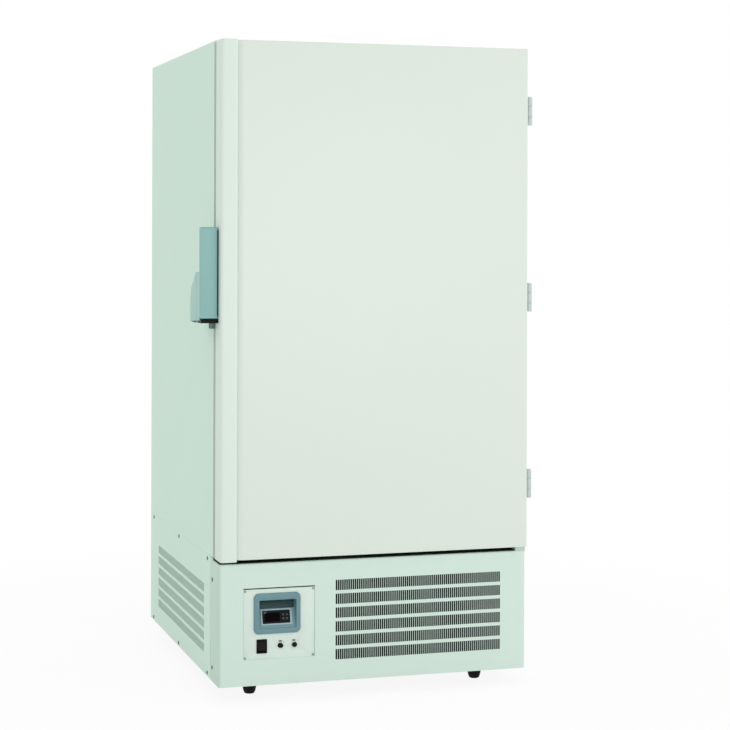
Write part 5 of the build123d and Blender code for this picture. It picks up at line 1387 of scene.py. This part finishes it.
# The dark strip along the lever's inner edge is painted shade for the gap beside it.
lever_shade_low = [lever_high[0] - 2.2 * MM, lever_front, lever_low[2] + 6 * MM]
lever_shade_high = [lever_high[0] + 1.4 * MM, lever_low[1] + LEVER_SHADE_DEEP, lever_high[2] - 8 * MM]
new_piece(
    "lever_shade_strip", strip(lever_shade_low, lever_shade_high, 1 * MM), lever_gap_shade, "handle"
)
pivot = np.mean(corners_of("handle_pivot_pin"), axis=0)[1:]
sweep = float(np.linalg.norm(lever_low[1:] - pivot)) + HEEL_CLEARANCE
cap_foot = base_low[2] + HANDLE_FOOT + CAP_TUCK
cap_back = base_high[1] - CAP_TUCK
arc = np.linspace(math.acos((pivot[0] - lever_front) / sweep), ARC_END, 9)
cap_outline = np.concatenate(
    [
        [[cap_back, cap_foot], [lever_front, cap_foot]],
        np.stack([pivot[0] - sweep * np.cos(arc), pivot[1] - sweep * np.sin(arc)], axis=-1),
        [[cap_back, cap_foot + CAP_BACK]],
    ]
)
cap_width = (lever_high - lever_low)[0] + CAP_PROUD
cap_origin = (lever_low[0] + CAP_PROUD, 0, 0)
# The black cap is painted shade, for the shadow inside the hollow under the heel.
new_piece(
    "heel_shade_cap",
    soft_block(cap_outline, 0.0, cap_width, 0.2 * MM, 0.2 * MM, RIGHT, cap_origin, 2),
    black_plastic_and_shade,
    "door",
)

# %% [markdown]
# The control corner. The real bezel is one moulding, and a tilted pocket cut into a block would
# have hard edges. So it is one closed skin: a pile of rounded rectangles that climbs from the body
# behind the plate over the rim and down into the recess, whose floor leans back so that a standing
# person can read the display.

# %% Bezel with its sloping recess
bezel_low, bezel_high = corners_of("display_bezel")
TILT = math.radians(16)
RECESS_IN = 15 * MM
RECESS_SIZE = np.array([103 * MM, 76 * MM])
BEZEL_SIZE = np.array([130 * MM, 110 * MM])
RECESS_SHALLOW = 3 * MM
RECESS_WALL = 3 * MM
RECESS_CORNER = 3 * MM
BEZEL_CORNER = 14 * MM
RIM = 2.2 * MM
LIP_ROUND = 1.5 * MM
bezel_front = bezel_low[1]
plate_front = plate_low[1]
bezel_middle = bezel_low[[0, 2]] + BEZEL_SIZE / 2
recess_low = bezel_low[[0, 2]] + RECESS_IN
recess_middle = recess_low + RECESS_SIZE / 2
recess_floor = bezel_front + RECESS_SHALLOW


def bezel_loop(grow, radius):
    """The outline of the bezel, grown by a distance, with a corner radius."""
    return rounded_rectangle(*(BEZEL_SIZE + 2 * grow), radius, 8, bezel_middle)


def recess_loop(grow, radius):
    """The outline of the recess, grown by a distance, with a corner radius."""
    return rounded_rectangle(*(RECESS_SIZE + 2 * grow), radius, 8, recess_middle)


rim_turn = np.linspace(0, np.pi / 2, 5)
floor_loop = recess_loop(-0.2 * MM, 2.5 * MM)
floor_depth = recess_floor + (floor_loop[:, 1] - recess_low[1]) * math.tan(TILT)
body_loop = recess_loop(RECESS_WALL, 4 * MM)
rings = [front_ring(body_loop, bezel_high[1]), front_ring(body_loop, plate_front)]
rings.append(front_ring(bezel_loop(0, BEZEL_CORNER), plate_front))
for a in rim_turn:
    grow, sunk = -RIM * (1 - np.cos(a)), RIM * (1 - np.sin(a))
    rings.append(front_ring(bezel_loop(grow, BEZEL_CORNER + grow), bezel_front + sunk))
for a in rim_turn[::-1]:
    grow, sunk = LIP_ROUND * (1 - np.cos(a)), LIP_ROUND * (1 - np.sin(a))
    rings.append(front_ring(recess_loop(grow, RECESS_CORNER + grow), bezel_front + sunk))
rings.append(front_ring(floor_loop, floor_depth))
new_piece("bezel", loft(rings), bezel_plastic, "cabinet", ["display_bezel"])

# %% [markdown]
# The controller sits on the sloping floor: a raised frame, a dark window for the display and a
# small status patch, and above them a smoked strip, whose darkness is also painted shade for the
# shadow that the bezel's upper rim casts into the recess. A picture could be laid on one flat face,
# but blocks of their own catch the light along their edges. They are drawn flat on the slope and
# raised square to it.

# %% Controller frame, window and smoked strip
SLOPE = np.array(
    [[1.0, 0, 0], [0, math.sin(TILT), math.cos(TILT)], [0, -math.cos(TILT), math.sin(TILT)]]
)
slope_origin = np.array([recess_low[0], recess_floor, recess_low[1]])
FACE_MIDDLE = np.array([48.5 * MM, 29.5 * MM])
FACE_HEIGHT = 4 * MM


def on_slope(loop, low, high, edge):
    """A loop on the sloping floor, raised from low to high with a round upper rim."""
    return soft_block(loop, low, high, 0, edge, SLOPE, slope_origin)


frame_outer = rounded_rectangle(87 * MM, 43 * MM, 3 * MM, 6, FACE_MIDDLE + [0.8 * MM, 0])
frame_shape = on_slope(frame_outer, -0.5 * MM, 2.6 * MM, 0.8 * MM)
new_piece("controller_frame", frame_shape, frame_plastic, "cabinet")
window_loop = rounded_rectangle(42 * MM, 23 * MM, 1.5 * MM, 6, FACE_MIDDLE + [-11 * MM, -1 * MM])
new_piece(
    "display_window",
    on_slope(window_loop, 2.5 * MM, FACE_HEIGHT + 0.25 * MM, 0.3 * MM),
    window_plastic,
    "cabinet",
)
# The smoked strip is partly painted shade, for the shadow under the bezel's upper rim.
smoke_loop = rounded_rectangle(98 * MM, 23 * MM, 2 * MM, 6, [51.5 * MM, 64 * MM])
new_piece(
    "smoked_strip",
    on_slope(smoke_loop, -0.3 * MM, 1.2 * MM, 0.4 * MM),
    smoked_plastic_and_shade,
    "cabinet",
)
lamp_loop = rounded_rectangle(8 * MM, 5.5 * MM, 0.8 * MM, 6, FACE_MIDDLE + [-31 * MM, 12.2 * MM])
new_piece(
    "status_patch",
    on_slope(lamp_loop, 3 * MM, FACE_HEIGHT + 0.2 * MM, 0.2 * MM),
    key_plastic,
    "cabinet",
)

# %% [markdown]
# Four small keys stand on a dark bed beside the window. Each one is a piece on its own body,
# because each can be pressed, and stands for its packed key. They are made in one loop from the
# signs of the corner that each takes.

# %% Keys on their bed
KEYS_MIDDLE = np.array([73 * MM, 29.5 * MM])
KEY_REACH = 5 * MM
KEY_SIZE = (5.2 * MM, 4.0 * MM)
KEY_PROUD = 0.8 * MM
bed_loop = rounded_rectangle(24 * MM, 21 * MM, 1 * MM, 4, KEYS_MIDDLE)
new_piece(
    "key_bed",
    on_slope(bed_loop, 2.2 * MM, 2.9 * MM, 0.2 * MM),
    black_plastic_and_shade,
    "cabinet",
)
for key, across, up in (("menu", -1, 1), ("up", 1, 1), ("alarm", -1, -1), ("down", 1, -1)):
    middle = KEYS_MIDDLE + [across * KEY_REACH, up * KEY_REACH]
    key_loop = rounded_rectangle(*KEY_SIZE, 0.8 * MM, 5, middle)
    new_piece(
        f"{key}_key_cap",
        on_slope(key_loop, FACE_HEIGHT - 0.05 * MM, FACE_HEIGHT + KEY_PROUD, 0.3 * MM),
        key_plastic,
        body_of(f"key_{key}"),
        [f"key_{key}"],
    )

# %% [markdown]
# Below the bezel sit the two fuse holders. Their round caps carry a raised grip and are turned a
# quarter to come out. Above each one sits a small plain plate. Collars and caps are round all
# over, so each is a profile turned about its axis, and only the grip is a rounded block on top.

# %% Fuse collars
holder_low, holder_high = corners_of("fuse_holders")
collar = turned([(5.5, -29), (5.5, 0), (6.8, 0.2), (6.8, 1.2), (6.3, 1.6), (5.8, 1.6)], 36)
collar = (collar[0] * MM @ FRONT, collar[1])
holder_half, holder_level = (holder_high - holder_low)[2] / 2, (holder_high + holder_low)[2] / 2
collar_places = [
    (x, plate_front, holder_level)
    for x in (holder_low[0] + holder_half, holder_high[0] - holder_half)
]
new_piece(
    "fuse_collars",
    copies(collar, collar_places),
    black_plastic_and_shade,
    "cabinet",
    ["fuse_holders"],
)

# %% [markdown]
# Cap and grip are one piece, because they turn together on the body of their fuse. They reach less
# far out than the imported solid, as in the photograph. The plain plates stay with the cabinet.

# %% Fuse caps and their plates
CAP_SEAT = 2 * MM
CAP_SHARE = 0.75
CAP_PROFILE = [(4.8, 0), (5.7, 0.05), (6.1, 0.35), (6.1, 0.8), (5.8, 0.95), (5.0, 1.0)]
GRIP_START, GRIP_END = 0.9, 1.12
RATING_OFFSET = np.array([-1 * MM, 12 * MM])
cap_face = plate_front - CAP_SEAT
for side in ("left", "right"):
    low, high = corners_of(f"fuse_cap_{side}")
    middle = (low + high) / 2
    tall = (cap_face - low[1]) * CAP_SHARE
    cap = turned(CAP_PROFILE, 36)
    cap = (cap[0] * [MM, MM, tall], cap[1])
    grip_loop = rounded_rectangle(9 * MM, 2.4 * MM, 1.1 * MM, 4)
    grip = soft_block(grip_loop, tall * GRIP_START, tall * GRIP_END, 0, 0.4 * MM)
    points, faces = joined(cap, grip)
    points = points @ FRONT + [middle[0], cap_face, middle[2]]
    new_piece(
        f"{side}_fuse_grip",
        (points, faces),
        black_plastic_and_shade,
        f"{side}_fuse",
        [f"fuse_cap_{side}"],
    )
    mark = rounded_rectangle(9 * MM, 4.5 * MM, 0.8 * MM, 4, middle[[0, 2]] + RATING_OFFSET)
    mark_points, mark_faces = soft_block(mark, 0, 0.8 * MM, 0, 0.3 * MM)
    new_piece(
        f"{side}_rating_plate",
        (mark_points @ FRONT + [0, plate_front + 0.1 * MM, 0], mark_faces),
        rating_grey,
        "cabinet",
    )

# %% [markdown]
# The levelling feet are rubber pads moulded round a steel disc, wide at the top and drawn in
# towards the floor. A threaded stud carries each one. A true helix would be costly and is never
# seen turning, so the thread is a row of fine rings, and pad and stud are both turned profiles.

# %% Levelling feet
PAD_TOP = 30 * MM
PAD_PROFILE = [(0.5, 0.0), (0.62, 0.0), (0.74, 0.06), (0.88, 0.3), (0.97, 0.6), (1.0, 0.82)]
PAD_PROFILE += [(0.96, 1.0), (0.45, 1.0)]
STUD_RADIUS, STUD_END = 6 * MM, 5 * MM
THREAD_DEPTH = 0.6 * MM
THREAD_STEP = 1.75 * MM
for side in ("left", "right"):
    low, high = corners_of(f"levelling_foot_{side}")
    middle = (low + high) / 2
    reach = (high[0] - low[0]) / 2
    stud_rings = np.arange(PAD_TOP, high[2] - 2 * MM, THREAD_STEP)
    thread = [(STUD_RADIUS - THREAD_DEPTH * (i % 2), z) for i, z in enumerate(stud_rings)]
    foot = joined(
        turned([(reach * r, PAD_TOP * z) for r, z in PAD_PROFILE], 40),
        turned(thread + [(STUD_END, high[2])], 20),
    )
    new_piece(
        f"{side}_foot_pad",
        (foot[0] + [middle[0], middle[1], low[2]], foot[1]),
        pad_rubber,
        f"{side}_foot",
        [f"levelling_foot_{side}"],
    )

# %% [markdown]
# The casters carry the freezer when its feet are wound up. A caster wheel has a crowned tyre and a
# sunk web round its hub. Cylinders and a torus could be stacked, but they would meet in hard
# lines. One closed profile, turned about the axle, gives hub, web and tyre together.

# %% Caster wheels
TYRE = [(4.2, 9), (9, 9), (10, 7.5), (17.5, 7.0), (19, 9.5), (21.5, 10.8), (24, 9.3)]
TYRE += [(25, 5), (25, 0)]
TYRE_SPAN = 50 * MM


def wheel(profile, count=48):
    """Each (radius, offset) of half the profile, and its mirror, becomes a ring round the axle."""
    half = np.array(profile) * MM
    whole = np.concatenate([half, half[-2::-1] * [1, -1]])
    return loft(
        piled([circle(radius, count) for radius, _ in whole], whole[:, 1], RIGHT), path_closed=True
    )


points, faces = wheel(TYRE)
for place in ("front_left", "front_right", "rear_left", "rear_right"):
    node = f"caster_wheel_{place}"
    low, high = corners_of(node)
    fitted = points * ((high - low)[1] / TYRE_SPAN)
    new_piece(
        f"{place}_castor_wheel",
        (fitted + (low + high) / 2, faces),
        wheel_rubber,
        body_of(node),
        [node],
    )
softened("left_castor_fork", "caster_fork_left", zinc, 0.5 * MM, 2)
softened("right_castor_fork", "caster_fork_right", zinc, 0.5 * MM, 2)

# %% [markdown]
# Screws hold the panels. A pan head could be a sphere cut flat, with a boolean cross, but that
# leaves long thin faces on something a few pixels wide. Here it is a pile of circles, and the
# cross is made by sinking every ring point that lies within it, so the head stays one skin.

# %% One screw head
HEAD_RINGS = [(1.0, 0.0), (1.0, 0.35), (0.9, 0.75), (0.62, 0.95), (0.3, 1.0)]
HEAD_POINTS = 32
CROSS_DEPTH = 0.55
HEAD_HEIGHT = 1.8 * MM


def screw_head(radius, height):
    """Rings of points; those of the two inner rings sink where they lie on one of four arms."""
    loops = [circle(radius * share, HEAD_POINTS) for share, _ in HEAD_RINGS]
    rings = piled(loops, [height * rise for _, rise in HEAD_RINGS])
    from_arm = np.arange(HEAD_POINTS) % (HEAD_POINTS // 4)
    on_cross = (from_arm <= 1) | (from_arm == HEAD_POINTS // 4 - 1)
    rings[3:, on_cross, 2] -= CROSS_DEPTH * height
    inner = piled([circle(radius * 0.28, HEAD_POINTS)], [(1 - CROSS_DEPTH) * height])
    return loft(np.concatenate([rings, inner]))


def heads(head, axes, places):
    """One screw head, turned to face a side and set at every place on it."""
    points, faces = head
    return copies((points @ axes, faces), places)


plain_head = screw_head(5.6 * MM, HEAD_HEIGHT)
small_head = screw_head(3.0 * MM, HEAD_HEIGHT)
print("a screw head has", len(plain_head[0]), "points")

# %% [markdown]
# The heads stand where the real panels are screwed: in columns on the side panels, two on each
# hinge strap, four on the rear cover and four on the control plate. Typing each place would take
# a long table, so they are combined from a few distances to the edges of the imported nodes.

# %% Screws on panels, hinge straps and control plate
COLUMN_FRONT, COLUMN_BACK = 160 * MM, 51 * MM
LONE_COLUMN, LONE_LEVELS = 97 * MM, (277 * MM, 38 * MM)
EDGE_MARGIN = 10 * MM
STRAP_PROUD, STRAP_BACK = 5 * MM, 133.5 * MM
STRAP_MARGIN, STRAP_REACH = 39 * MM, 19.5 * MM
PLATE_MARGIN = 5 * MM
REAR_MARGIN = 20 * MM
door_face = door_low[1]
screw_levels = (bottom + EDGE_MARGIN, top - EDGE_MARGIN)
column_front, column_back = door_face + COLUMN_FRONT, shell_high[1] - COLUMN_BACK
side_columns = [column_front, (column_front + column_back) / 2, column_back]
side_places = [(y, z) for y in side_columns for z in screw_levels]
side_places += [(door_face + LONE_COLUMN, bottom + rise) for rise in LONE_LEVELS]
hinge_low, hinge_high = corners_of("door_hinge_leaves")
strap_x, strap_y = right + STRAP_PROUD, door_face + STRAP_BACK
levels = [
    hinge_low[2] + STRAP_MARGIN,
    (hinge_low[2] + hinge_high[2]) / 2,
    hinge_high[2] - STRAP_MARGIN,
]
strap_places = [(strap_x, strap_y, z + s * STRAP_REACH) for z in levels for s in (-1, 1)]
window_low = plate_low + PLATE_OVERLAP + PLATE_MARGIN
window_high = plate_high - PLATE_OVERLAP - PLATE_MARGIN
plate_places = [
    (x, plate_front, z)
    for x in (window_low[0], window_high[0])
    for z in (window_low[2], window_high[2])
]
back_face = shell_high[1] + SHEET
rear_places = [
    (x, back_face, z) for x in (left + REAR_MARGIN, right - REAR_MARGIN) for z in screw_levels
]
all_heads = joined(
    heads(plain_head, LEFT, [(left, y, z) for y, z in side_places]),
    heads(plain_head, RIGHT, [(right, y, z) for y, z in side_places]),
    heads(plain_head, RIGHT, strap_places),
    heads(plain_head, BACK, rear_places),
)
new_piece("panel_screw_heads", all_heads, screw_metal, "cabinet", ["panel_screws"])
new_piece(
    "plate_screw_heads",
    heads(small_head, FRONT, plate_places),
    plate_screw_metal,
    "cabinet",
)

# %% [markdown]
# Floor and world both have to look plain white, but must not light the freezer as strongly as
# they look, or its paint would wash out. A renderer can tell what a ray is for. So one helper says
# whether a ray comes straight from the camera, off gloss or through glass, and what is shown to
# such rays may differ from what lights the piece.

# %% What is seen directly


def largest_of(tree, first, second, third):
    """A socket with the largest of three values."""
    largest = first
    for other in (second, third):
        larger = tree.nodes.new("ShaderNodeMath")
        larger.operation = "MAXIMUM"
        tree.links.new(largest, larger.inputs[0])
        tree.links.new(other, larger.inputs[1])
        largest = larger.outputs[0]
    return largest


def seen_directly(tree):
    """1 for rays that come from the camera, off gloss or through glass, and 0 for all others."""
    rays = tree.nodes.new("ShaderNodeLightPath").outputs
    return largest_of(
        tree, rays["Is Camera Ray"], rays["Is Glossy Ray"], rays["Is Transmission Ray"]
    )


print("rays can be told apart")

# %% [markdown]
# The floor. A freezer that stands on nothing looks pasted in, while a plain white floor is never
# quite as white as the world behind it. So the floor is paper that glows in full white, with only
# a small share of lit paper mixed in near the object, where its soft shadow falls.

# %% Studio floor
FLOOR_REACH = 20.0
SHADOW_SHARE = 0.09
FADE_START, FADE_END = 0.9, 2.6


def stage_plane(name, size, z):
    """A level square on the stage, its faces up, reaching size to every side at height z."""
    mesh = bpy.data.meshes.new(name)
    corners = [(-size, -size, z), (size, -size, z), (size, size, z), (-size, size, z)]
    mesh.from_pydata(corners, [], [(0, 1, 2, 3)])
    plane = bpy.data.objects.new(name, mesh)
    bpy.context.scene.collection.objects.link(plane)
    return plane


def studio_paper():
    """White paper: to the camera and to gloss it is mostly a plain white glow of strength 1, with
    a share of lit paper near the object, so that a soft shadow stays."""
    paper = bpy.data.materials.new("studio floor")
    paper.use_nodes = True
    tree = paper.node_tree
    lit = tree.nodes["Principled BSDF"]
    lit.inputs["Base Color"].default_value = (0.95, 0.95, 0.95, 1)
    lit.inputs["Roughness"].default_value = 0.9
    lit.inputs["Specular IOR Level"].default_value = 0.0
    glow = tree.nodes.new("ShaderNodeEmission")
    glow.inputs["Strength"].default_value = 1.0
    place = tree.nodes.new("ShaderNodeTexCoord")
    distance = tree.nodes.new("ShaderNodeVectorMath")
    distance.operation = "LENGTH"
    fade = tree.nodes.new("ShaderNodeMapRange")
    fade.interpolation_type = "SMOOTHSTEP"
    fade.inputs["From Min"].default_value = FADE_START
    fade.inputs["From Max"].default_value = FADE_END
    fade.inputs["To Min"].default_value = 1.0 - SHADOW_SHARE
    fade.inputs["To Max"].default_value = 1.0
    share = tree.nodes.new("ShaderNodeMath")
    share.operation = "MULTIPLY"
    mixed = tree.nodes.new("ShaderNodeMixShader")
    link = tree.links.new
    link(place.outputs["Object"], distance.inputs[0])
    link(distance.outputs["Value"], fade.inputs["Value"])
    link(seen_directly(tree), share.inputs[0])
    link(fade.outputs["Result"], share.inputs[1])
    link(share.outputs[0], mixed.inputs["Fac"])
    link(lit.outputs[0], mixed.inputs[1])
    link(glow.outputs[0], mixed.inputs[2])
    link(mixed.outputs[0], tree.nodes["Material Output"].inputs["Surface"])
    return paper


floor = stage_plane("studio_floor", FLOOR_REACH, 0.0)
floor.data.materials.append(studio_paper())
print(f"floor {2 * FLOOR_REACH:.0f} m wide, shadow share {SHADOW_SHARE}")

# %% [markdown]
# The light. One broad lamp in front and a weaker one to the right give the panels their soft
# falloff, and a bright world fills every side, so that a colour renders about as it is written. An
# image of a studio could do it too, but then the light would depend on a file. The world is shown
# in pure white to the camera, to gloss and through glass, and lights the rest a little less.

# %% Lamps and world
AMBIENT = 0.79
AIM = (0.0, 0.0, 0.9)


def area_lamp(name, place, target, size, power):
    """A soft rectangular lamp at a place, facing the target."""
    data = bpy.data.lights.new(name, "AREA")
    data.shape = "RECTANGLE"
    data.size, data.size_y = size
    data.energy = power
    lamp = bpy.data.objects.new(name, data)
    bpy.context.scene.collection.objects.link(lamp)
    turn = (Vector(place) - Vector(target)).to_track_quat("Z", "Y")
    lamp.matrix_world = Matrix.Translation(place) @ turn.to_matrix().to_4x4()
    return lamp


area_lamp("front_softbox", (0.9, -6.5, 1.5), AIM, (3.4, 3.4), 54)
area_lamp("right_softbox", (4.5, -1.5, 2.2), AIM, (2.5, 2.5), 25)

world = bpy.data.worlds.new("studio world")
bpy.context.scene.world = world
world.use_nodes = True
sky = world.node_tree
sky.nodes.clear()
ambient = sky.nodes.new("ShaderNodeBackground")
ambient.inputs["Strength"].default_value = AMBIENT
shown = sky.nodes.new("ShaderNodeBackground")
shown.inputs["Strength"].default_value = 1.0
for back in (ambient, shown):
    back.inputs["Color"].default_value = (1, 1, 1, 1)
mix = sky.nodes.new("ShaderNodeMixShader")
result = sky.nodes.new("ShaderNodeOutputWorld")
sky.links.new(seen_directly(sky), mix.inputs["Fac"])
sky.links.new(ambient.outputs[0], mix.inputs[1])
sky.links.new(shown.outputs[0], mix.inputs[2])
sky.links.new(mix.outputs[0], result.inputs["Surface"])
bpy.context.scene.view_settings.view_transform = "Standard"
print("lamps:", [lamp.name for lamp in bpy.data.lights], "and a world of", AMBIENT)
